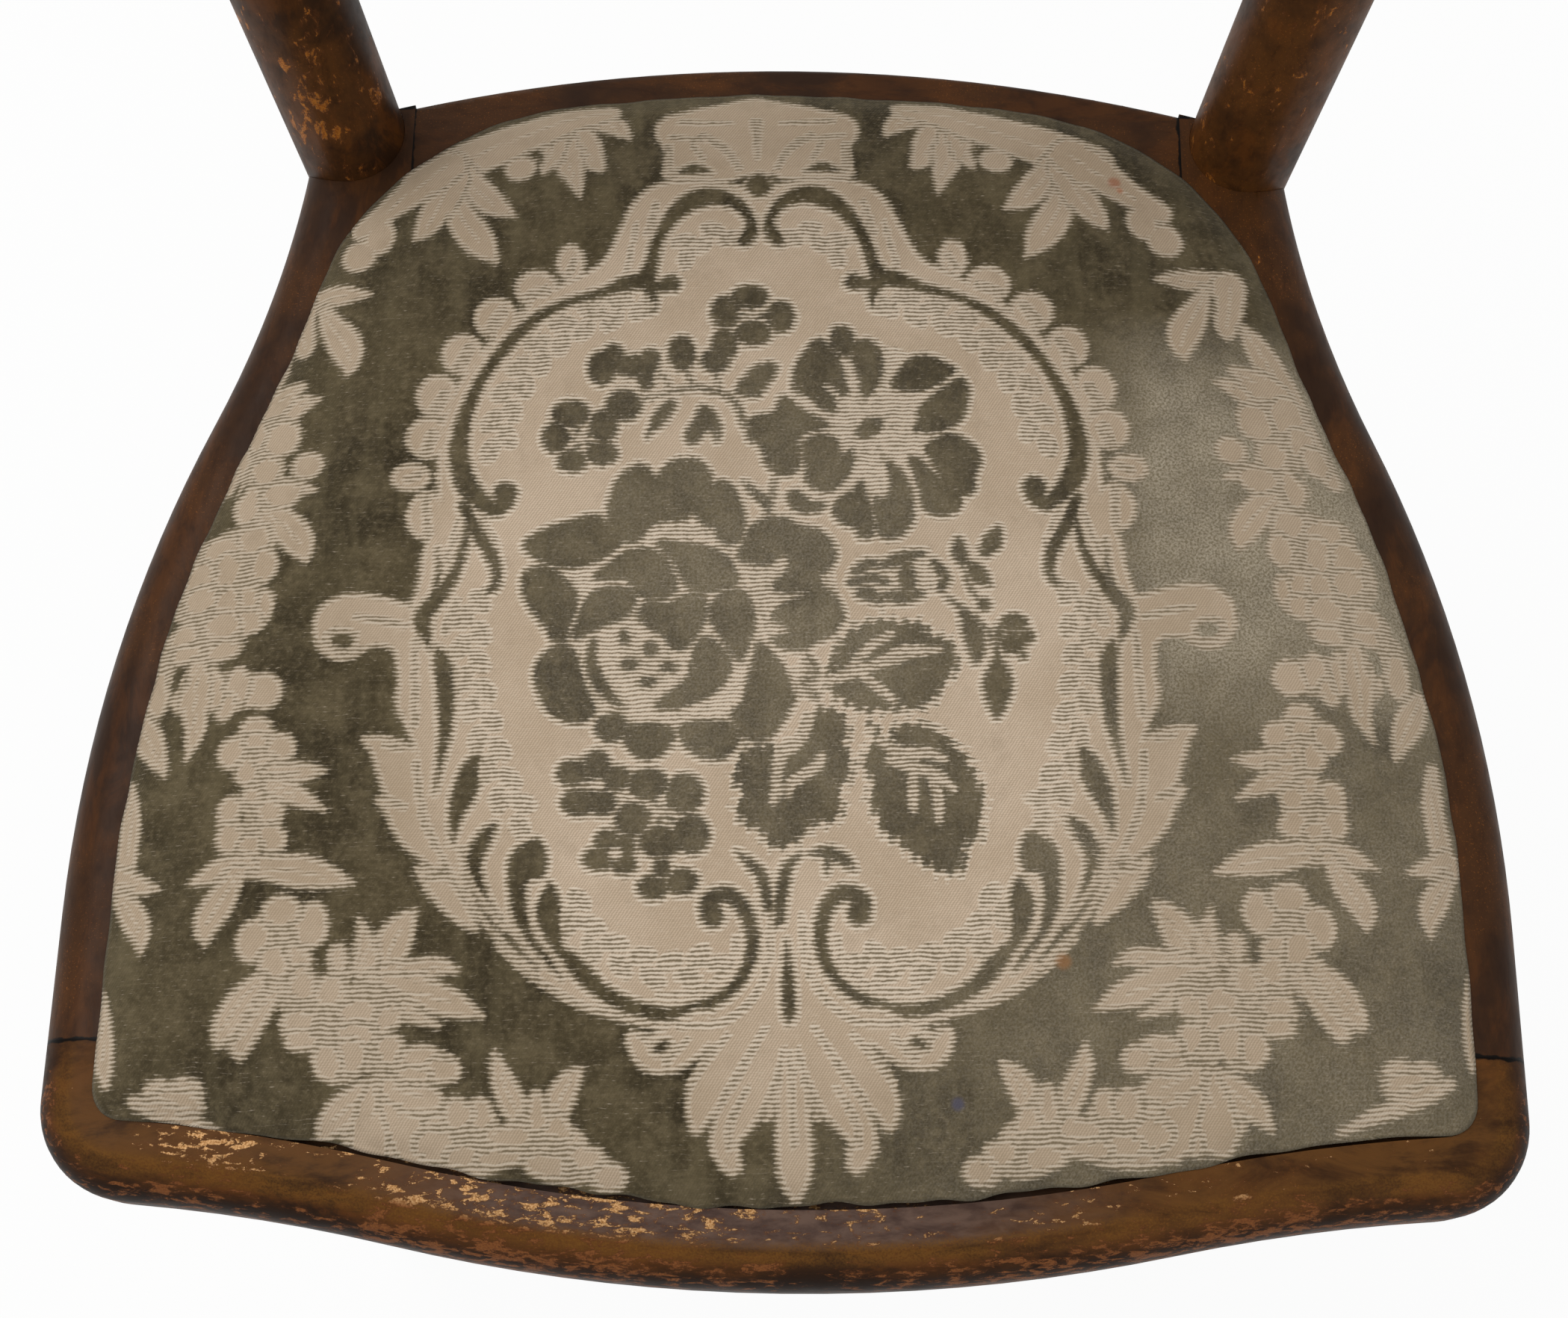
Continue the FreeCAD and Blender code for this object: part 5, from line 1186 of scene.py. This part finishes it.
def hatching():
    # Chains of small hatched leaves inside the border
    chain([(36, 99), (46, 95), (56, 91.5), (65, 85), (72, 76), (77.5, 66), (80, 56),
           (79.5, 46)], 4.6, 2.6, 2.2, 3.4)
    chain([(88, 5), (87, -4), (88, -14), (86, -24), (84, -34), (80.5, -46), (76.5, -57),
           (70, -64)], 4.6, 2.6, 2.1, 3.2)
    chain([(60, -84), (57, -92), (51, -98), (43, -102.5), (34, -105), (25, -104),
           (17, -100)], 4.4, 2.4, 2.0, 3.2)
    chain([(8, 123), (14, 121.5), (21, 119), (26, 113)], 4.4, 2.2, 2.0, 3.0)
    # Hatched hearts of the scallops, and the veins of the scrolls and leaves
    for run in [
        [(66, 103, 2), (72, 101, 1.6)], [(79, 96, 2), (83, 90, 2)], [(89, 84, 2), (92, 78, 2)],
        [(96.4, 69, 2), (99, 64, 2)], [(99.6, 56, 2), (101.6, 50, 2)], [(104, 43, 1.6), (107, 42, 1.4)],
        [(101.6, 37, 1.4), (100.6, 24, 1.4)], [(32, 133, 1.2), (34.6, 122, 1.4)],
        [(38, 126, 0.9), (41, 110, 1.1)], [(57, 114, 1.2), (59, 109, 1.4)], [(92, 3, 1.6), (95, -6, 1.6)],
        [(92, 28, 0.9), (95, 16, 1.2)], [(85, 30, 1.0), (80, 20, 1.2)],
        [(107, -4, 1.1), (113, -2.4, 1.3), (121, -1, 1)],
        [(119, -10.6, 1), (125, -12, 1.1), (130, -8, 1)],
        [(121, -6, 0.8), (126, -4.6, 1), (130, -6, 0.8)],
        [(104, -9, 1.1), (103.6, -20, 1.3), (103.6, -34, 1.2)],
        [(103, -45, 1.2), (101, -60, 1.2), (97, -70, 1)], [(107, -41, 0.9), (112, -39.6, 1.1)],
        [(106, -58, 0.9), (110, -57, 1)], [(90.6, -70, 1), (86, -82, 1.2), (78, -93, 1)],
        [(95, -79, 0.9), (99, -78, 1)],
        [(4.4, -90, 0.9), (5, -102, 1.2), (9, -112, 1.2), (18, -119.4, 1.2), (30, -120.4, 1)],
        [(40, -119, 1), (56, -115, 1.2), (70, -107, 1), (80, -98, 0.9)],
        [(14, -96, 0.9), (16, -104, 1.1), (24, -110.6, 1.1), (36, -112, 0.9)],
        [(2, -127, 0.9), (4, -136, 1.2), (7, -145, 1.2)],
        [(6.6, -121, 0.9), (13, -131, 1.2), (19, -140, 1.1)],
        [(17, -123, 0.9), (24, -131, 1.2), (28, -136, 1.1)], [(0, -128, 0.9), (0, -152, 1.1)],
        [(12, -137, 0.8), (17, -146, 1.2), (17.6, -153, 0.9)], [(28, -124, 0.9), (34, -130, 1.2)],
        [(38, -125, 0.8), (41, -122.6, 0.9)], [(6, 146, 1.2), (10, 154, 1.5), (17, 160, 1.5)],
        [(0, 150, 1), (1, 166, 1.2)], [(13, 158, 1.2), (27, 159.6, 1.2)], [(17, 150, 1), (20, 156, 1.2)],
        [(27, 145, 1), (27.6, 156, 1.2)], [(8, 165, 1), (24, 165.6, 1.2)],
    ]:
        hatch(stroke(run, twin=True))
    # Shaded throats of the bouquet's flowers
    for turn in np.radians(range(0, 360, 36)):
        ray = [(30.5 + reach * math.cos(turn), 56 + reach * math.sin(turn), 1.3) for reach in (6.5, 10.5)]
        hatch(stroke(ray))
    hatch(oval(-26, 23.6, 10, 2.4), 0.9)
    hatch(oval(-4, 7, 4, 5), 0.6)
    hatch(oval(8, -22, 4, 6), 0.6)
    shade(area([(-66, 20), (-47, 30), (-38, 42), (-22, 43), (-10, 34), (-8, 20), (-4, -10), (3, -25),
                (-6, -37), (-20, -42), (-38, -42), (-52, -34), (-62, -30), (-66, -20), (-60, -8),
                (-68, 6), (-62, 12)]), 0.3)
    shade(oval(-38, -16, 8, 7), 0.42)
    shade(oval(30, 56, 27, 28), 0.3)
    shade(area([(-9, 16), (0, 27), (16, 22), (18, 8), (19, -2), (8, -13), (-3, -9), (-6, 4)]), 0.4)
    shade(oval(-35, -60.6, 11, 10), 0.36)
    shade(oval(-53, -52, 6, 5), 0.36)
    shade(oval(-56, 54, 6, 7), 0.36)
    shade(oval(-4, 93.6, 7, 6), 0.36)
    shade(oval(36, 8, 13, 7), 0.36)


hatching()
drawn("hatching")

# %% [markdown]
# ## From drawing to tone
# The loom works in rows, so every edge of the figure is a comb of short rows. The drawing becomes a tone
# from 0, all ground, to 1, all pile, that rises across the width of that comb. The material will compare
# it with the rows.

# %% Tone of the figure
COMB = 1.7
HATCH_TONE = 0.43
tone = np.clip(0.5 + FIELD["depth"] / (2 * COMB), 0, 1)
tone = tone + (HATCH_TONE - tone) * FIELD["hatch"]
tone = np.maximum(tone, FIELD["shade"])
print("pile covers", round(100 * float(tone.mean())), "% of the cover")

# %% [markdown]
# ## The cover as one closed piece
# The velvet's pile stands about half a millimetre above the ground, and the padding under it is a little
# uneven. Displacing the fine grid by both gives the relief as real geometry. The raw edge lies level
# with the top of the rails. Under it the cloth turns back and down into the rebate, and a flat bottom
# closes the piece just above the hessian.

# %% Build the cover
PILE_MM = 0.5
CLOTH = 0.0004
HESSIAN_GAP = 0.0003
uneven = 0.0
for size, rise, phase in [(61, 0.35, 0.3), (37, 0.22, 1.7), (23, 0.12, 2.9)]:
    lumps = np.cos(along / (size * 1.2) * 2 * math.pi + 2 * phase)
    uneven = uneven + rise * np.sin(across / size * 2 * math.pi + phase) * lumps
fade = np.clip((1 - ring.ravel()) / 0.12, 0, 1)
lift = (uneven * fade - PILE_MM * (1 - tone)) * 0.001
points = np.stack([plan_x.ravel(), plan_y.ravel(), top_z.ravel() + lift], 1)
index = np.arange((CELLS + 1) ** 2).reshape(CELLS + 1, CELLS + 1)
faces = grid_faces(index)
rim = np.concatenate([index[0, :-1], index[:-1, -1], index[-1, :0:-1], index[:0:-1, 0]])
points[rim, 2] = rail_top + CLOTH
source = list(range(len(points)))
layers = [rim]
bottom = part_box("seat_hessian")[1][2] + HESSIAN_GAP
inward = middle - points[rim, :2]
inward = inward / np.linalg.norm(inward, axis=1)[:, None]
for drop, pull in [(-0.0001, 0.0019), (0.0012, 0.0021), (0.0025, 0.0023), (rail_top - bottom, 0.0025)]:
    under_edge = np.column_stack([points[rim, :2] + inward * pull, np.full(len(rim), rail_top - drop)])
    layers.append(np.arange(len(rim)) + len(points))
    points = np.vstack([points, under_edge])
    source += rim.tolist()
for upper, lower in zip(layers, layers[1:]):
    for i in range(len(rim)):
        j = (i + 1) % len(rim)
        faces.append((int(upper[j]), int(upper[i]), int(lower[i]), int(lower[j])))
faces.append([int(i) for i in layers[-1][::-1]])
cover_mesh = bpy.data.meshes.new("seat_cover_velvet")
cover_mesh.from_pydata(points.tolist(), [], faces)
cover_mesh.polygons.foreach_set("use_smooth", [True] * len(faces))
cover = bpy.data.objects.new("seat_cover_velvet", cover_mesh)
scene.collection.objects.link(cover)
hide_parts("seat_cover", "seat_stuffing")
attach(cover, "root")
print(len(points), "points in the cover")

# %% [markdown]
# ## Wear, sheen and place on the cloth
# Years of sitting have pressed the pile flat and silvery: most at the right, less in front and in the
# middle. That silver is partly the wear and partly a painted sheen of the crushed nap. Wear and sheen,
# tone and the place along warp and weft, in millimetres, are written on the points of the mesh. The
# material reads them as attributes, so the rows follow the cloth and not the picture.

# %% Wear, painted sheen and place on the cloth
def ramp(values, start, end):
    """0 at the start, 1 at the end and beyond."""
    return np.clip((values - start) / (end - start), 0, 1)


# The worn share is partly real wear and partly a painted sheen of the crushed nap, strongest at the right
right_side = 0.85 * ramp(across, 92, 114) * ramp(along, 95, 70) * ramp(along, -60, -10)
front = 0.34 * ramp(across, -20, 90) * ramp(along, 40, -50)
seat_middle = 0.38 * np.clip(1.3 - np.hypot(across / 85, along / 95), 0, 1)
worn = np.maximum(np.maximum(right_side, front), seat_middle)
for name, values in [("tone", tone), ("warp", across), ("weft", along), ("worn", worn)]:
    layer = cover_mesh.attributes.new(name, "FLOAT", "POINT")
    layer.data.foreach_set("value", values[source].astype(np.float32))
cover_mesh.update()
print("worn share", round(float(worn.mean()), 2))

# %% [markdown]
# ## Cut velvet
# Rows decide where pile shows: the tone is compared with a saw of rows, so an edge breaks into teeth and
# half tones into hatching. Pale weft threads float where the pile stops. The ground is a fine linen
# twill, creamy and matt. The silk pile is rough and drinks light, except where it is pressed, so it gets
# a weak sheen and hardly any gloss.

# %% Rows of the velvet
ROW_MM = 1.25
# Real twill lines lie about half a millimetre apart, too fine for the picture, so they are drawn a little
# coarser
TWILL_MM = 0.748
ROW_WANDER_MM = 8.3333
WAVE_REPEAT = math.pi / 10
velvet, tree, shader = material("cut velvet, olive silk pile on a linen twill ground")
tone_in, warp_in, weft_in, wear_and_sheen_in = (
    node(tree, "Attribute", attribute_name=name, output="Fac") for name in ("tone", "warp", "weft", "worn")
)
where = node(tree, "CombineXYZ", warp_in, weft_in)
# Rows wander by part of a row every 8 mm or so, and each row ends in its own place
wander = node(tree, "Math", node(tree, "TexNoise", where, 1 / ROW_WANDER_MM, 2), 1.4, -0.7, **TIMES_PLUS)
row = node(tree, "Math", weft_in, 1 / ROW_MM, wander, **TIMES_PLUS)
saw = node(tree, "Math", node(tree, "Math", row, 2, **TIMES), 1.0, operation="PINGPONG")
row_number = node(tree, "Math", row, operation="FLOOR")
row_place = node(tree, "CombineXYZ", node(tree, "Math", warp_in, 0.3, **TIMES), row_number)
level = node(tree, "Math", node(tree, "TexNoise", row_place, 2.1, 1), 0.7, tone_in, **TIMES_PLUS)
level = node(tree, "Math", saw, -0.6, level, **TIMES_PLUS)
pile_share = node(tree, "MapRange", level, 0.29, 0.81, **SOFT)
floats = node(tree, "MapRange", tone_in, 0.02, 0.22, 0, 0.75, **SOFT)
floats = node(tree, "Math", floats, node(tree, "MapRange", saw, 0.3, 0.7, **SOFT), **TIMES)
rib = node(tree, "Math", node(tree, "Math", row, 4, **TIMES), 1.0, operation="PINGPONG")
leaning = node(tree, "Mapping", where, None, (0, 0, 0.6))
twill = node(tree, "TexWave", leaning, WAVE_REPEAT / TWILL_MM, 2, 2, 2, output="Fac")
print("rows", ROW_MM, "mm apart, twill", TWILL_MM, "mm")

# %% Wear and dirt of the velvet
# Sizes in mm: blotches, dirt, floating threads, tufts, streaks of pressed pile, spots of wear and painted
# sheen, threads of bare pile
BLOTCH, DIRT, THREAD, TUFT = 45.455, 11.111, 1.1111, 2.381
STREAK, WORN_SPOT, BARE_THREAD = 9.0909, 20, 0.71429
blotch = node(tree, "TexNoise", where, 1 / BLOTCH, 4, 0.6)
dirt = node(tree, "TexNoise", where, 1 / DIRT, 5, 0.65)
level_threads = node(tree, "Mapping", where, None, None, (0.35, 1.6, 1))
threads = node(tree, "TexNoise", level_threads, 1 / THREAD, 3, 0.6)
tuft = node(tree, "TexNoise", node(tree, "Mapping", where, None, None, (1.0, 1.3, 1)), 1 / TUFT, 6, 0.8)
streaks = node(tree, "TexNoise", node(tree, "Mapping", where, None, None, (1, 0.12, 1)), 1 / STREAK, 4, 0.65)
spots = node(tree, "TexNoise", where, 1 / WORN_SPOT, 5, 0.65)
# Silvery pressed pile: partly wear, partly a painted sheen of the crushed nap
silver = node(tree, "Math", wear_and_sheen_in, node(tree, "MapRange", spots, 0.25, 0.7, 0.55, 1.0, **SOFT), **TIMES)
bare = node(tree, "TexNoise", where, 1 / BARE_THREAD, 2, 0.6)
share = node(tree, "MapRange", bare, 0.34, 0.66, **SOFT)
bare_pile_and_sheen = node(tree, "Mix", share, "#82765f", "#b6aa95", **COLOUR)
print(len(tree.nodes), "nodes so far")

# %% Colours of the velvet
# Ground: cream, with painted shade in the twill's furrows and between the ribs, dirty in spots, and
# darker towards the edge of the seat
in_seat = node(tree, "Mapping", where, None, None, (1 / 105, 1 / 140, 1))
from_middle = node(tree, "VectorMath", in_seat, operation="LENGTH", output="Value")
ground_colour = "#cab49a"
for share, tint in [
    (node(tree, "MapRange", blotch, 0.35, 0.65, **SOFT), "#dbc5ac"),
    # Painted shade: darker in the twill's furrows and between the ribs
    (node(tree, "Math", twill, 0.42, **TIMES), "#826e58"),
    (node(tree, "Math", rib, 0.3, **TIMES), "#8c7962"),
    (node(tree, "MapRange", threads, 0.5, 0.8, 0, 0.3, **SOFT), "#d8c9b2"),
    (node(tree, "MapRange", dirt, 0.5, 0.75, 0, 0.3, **SOFT), "#94816a"),
    (floats, "#e0d2be"),
    (node(tree, "MapRange", from_middle, 0.75, 1.15, 0, 0.34, **SOFT), "#8a785f"),
]:
    ground_colour = node(tree, "Mix", share, ground_colour, tint, **COLOUR)
# Pile: dark olive, lighter where it is dirty, tufted or streaked, silvery where worn (partly a painted
# sheen), thin and pale in hatching
pile_colour = "#332b1b"
for share, tint in [
    (node(tree, "MapRange", blotch, 0.36, 0.62, **SOFT), "#4b412c"),
    (node(tree, "MapRange", dirt, 0.42, 0.66, 0, 0.6, **SOFT), "#665a42"),
    (node(tree, "MapRange", tuft, 0.46, 0.7, 0, 0.5, **SOFT), "#776a51"),
    (node(tree, "MapRange", tuft, 0.3, 0.5, 0.5, 0, **SOFT), "#2f2818"),
    (node(tree, "MapRange", streaks, 0.45, 0.7, 0, 0.4, **SOFT), "#665b42"),
    (silver, bare_pile_and_sheen),
    (node(tree, "MapRange", tone_in, 0.44, 0.8, 0.85, 0, **SOFT), "#796a52"),
]:
    pile_colour = node(tree, "Mix", share, pile_colour, tint, **COLOUR)
cloth_colour = node(tree, "Mix", pile_share, ground_colour, pile_colour, **COLOUR)
# Four small stains: place on the cloth and radius in mm
for place, radius, tint in [
    ((111, 142, 0), 2.4, "#9a5230"),
    ((112.5, 139, 0), 1.5, "#a86238"),
    ((45, -142, 0), 2.2, "#4a4a63"),
    ((76, -104, 0), 2.6, "#96683f"),
]:
    away = node(tree, "VectorMath", where, place, operation="DISTANCE", output="Value")
    away = node(tree, "Math", away, tuft)
    stain = node(tree, "MapRange", away, radius * 0.6, radius * 1.4, 0.6, 0, **SOFT)
    cloth_colour = node(tree, "Mix", stain, cloth_colour, tint, **COLOUR)
print(len(tree.nodes), "nodes in the velvet")

# %% Surface of the velvet
height = node(tree, "Math", node(tree, "Math", pile_share, threads), 0.5, **TIMES)
height = node(tree, "Math", node(tree, "Math", twill, tuft), 0.2, height, **TIMES_PLUS)
surface(tree, shader, {
    "Base Color": cloth_colour,
    "Roughness": node(tree, "MapRange", pile_share, 0, 1, 0.82, 0.95, **SOFT),
    "Sheen Weight": 0.2,
    "Sheen Roughness": 0.5,
    "Sheen Tint": "#d8ceb4",
    "Specular IOR Level": 0.2,
    "Normal": node(tree, "Bump", 0.6, 0.0005, None, height),
})
cover_mesh.materials.append(velvet)
print(cover.name, "wears", velvet.name)

# %% [markdown]
# ## Straps and hessian underneath
# Seen from below, six jute straps cross each other under a hessian cloth. A flat plane would miss how
# they pass over and under, so each one is read off its CAD solid: rays from below find the height of the
# solid's underside over a fine grid, and a second layer closes the sheet. Jute is a dull, hairy plain
# weave, so warp and weft are two crossed waves, the higher one showing.

# %% Sheets read off the solids
EDGE_GAP, RAY_START = 0.0003, 0.01


def sampled_sheet(name, cad_name, spacing, thickness):
    """A thin closed sheet at the height of a CAD node's underside, and its area in the plan."""
    (x0, y0, z0), (x1, y1, _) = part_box(cad_name)
    solid = BVHTree.FromObject(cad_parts[cad_name], bpy.context.evaluated_depsgraph_get())
    columns = max(2, round((x1 - x0) / spacing[0]))
    rows = max(2, round((y1 - y0) / spacing[1]))
    xs = np.linspace(x0 + EDGE_GAP, x1 - EDGE_GAP, columns + 1)
    ys = np.linspace(y0 + EDGE_GAP, y1 - EDGE_GAP, rows + 1)
    found = {}
    lower = []
    for j, y in enumerate(ys):
        for i, x in enumerate(xs):
            hit = solid.ray_cast((x, y, z0 - RAY_START), (0, 0, 1))[0]
            if hit is not None:
                found[i, j] = len(lower)
                lower.append((x, y, hit.z))
    count = len(lower)
    upper = [(x, y, z + thickness) for x, y, z in lower]
    squares = [((i, j), (i + 1, j), (i + 1, j + 1), (i, j + 1)) for i in range(columns) for j in range(rows)]
    cells = [[found[k] for k in square] for square in squares if all(k in found for k in square)]
    sides = [(a, b) for c in cells for a, b in zip(c, c[1:] + c[:1])]
    shared = set(sides)
    faces = [tuple(c[::-1]) for c in cells] + [tuple(k + count for k in c) for c in cells]
    faces += [(a, b, b + count, a + count) for a, b in sides if (b, a) not in shared]
    mesh = bpy.data.meshes.new(name)
    mesh.from_pydata(lower + upper, [], faces)
    mesh.polygons.foreach_set("use_smooth", [True] * len(faces))
    made = bpy.data.objects.new(name, mesh)
    scene.collection.objects.link(made)
    print(name, len(cells), "cells")
    return made, len(cells) * (xs[1] - xs[0]) * (ys[1] - ys[0])

# %% Jute and hessian
HAIR_MM = 1.1111


def woven(name, warp_colour, weft_colour, pitch, hair_colour):
    """A plain weave of warp and weft threads, read from the plan; pitch is the thread spacing in metres."""
    made, tree, shader = material(name)
    where = node(tree, "TexCoord", output="Object")
    hairs = node(tree, "TexNoise", where, 1000 / HAIR_MM, 4, 0.65)
    warp, weft = (
        node(tree, "TexWave", where, WAVE_REPEAT / pitch, 0.6, 2, 3, bands_direction=axis, output="Fac")
        for axis in "XY"
    )
    over = node(tree, "Math", warp, weft, operation="SUBTRACT")
    share = node(tree, "MapRange", over, -0.4, 0.4, **SOFT)
    colour = node(tree, "Mix", share, warp_colour, weft_colour, **COLOUR)
    hairy = node(tree, "MapRange", hairs, 0.3, 0.7, 0, 0.45, **SOFT)
    height = node(tree, "Math", warp, weft, operation="MAXIMUM")
    surface(tree, shader, {
        "Base Color": node(tree, "Mix", hairy, colour, hair_colour, **COLOUR),
        "Roughness": node(tree, "MapRange", hairs, 0.2, 0.8, 0.8, 0.98, **SOFT),
        "Normal": node(tree, "Bump", 0.8, pitch * 0.3, None, height),
    })
    return made


jute = woven("jute webbing, plain woven", "#8d6d45", "#a9875a", 0.0022, "#6a4e30")
hessian_cloth = woven("hessian, open jute weave", "#9d8158", "#b59a6d", 0.0016, "#725a3a")
print(jute.name, "and", hessian_cloth.name)

# %% Straps
STRAP_THICK = 0.0014
FINE, COARSER = 0.003, 0.005
for number in (1, 2, 3):
    for direction, spacing, held_by in [
        ("lengthwise", (COARSER, FINE), ["seat_front_rail", "seat_back_rail"]),
        ("crosswise", (FINE, COARSER), ["seat_side_rail_left", "seat_side_rail_right"]),
    ]:
        name = f"webbing_{direction}_{number}"
        strap, flat_area = sampled_sheet(f"{name}_strap", name, spacing, STRAP_THICK)
        strap.data.materials.append(jute)
        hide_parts(name)
        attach(strap, "root")

# %% Hessian cloth
HESSIAN_CELL, HESSIAN_THICK = 0.004, 0.0005
spacing = (HESSIAN_CELL, HESSIAN_CELL)
hessian, flat_area = sampled_sheet("seat_hessian_cloth", "seat_hessian", spacing, HESSIAN_THICK)
hessian.data.materials.append(hessian_cloth)
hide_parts("seat_hessian")
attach(hessian, "root")
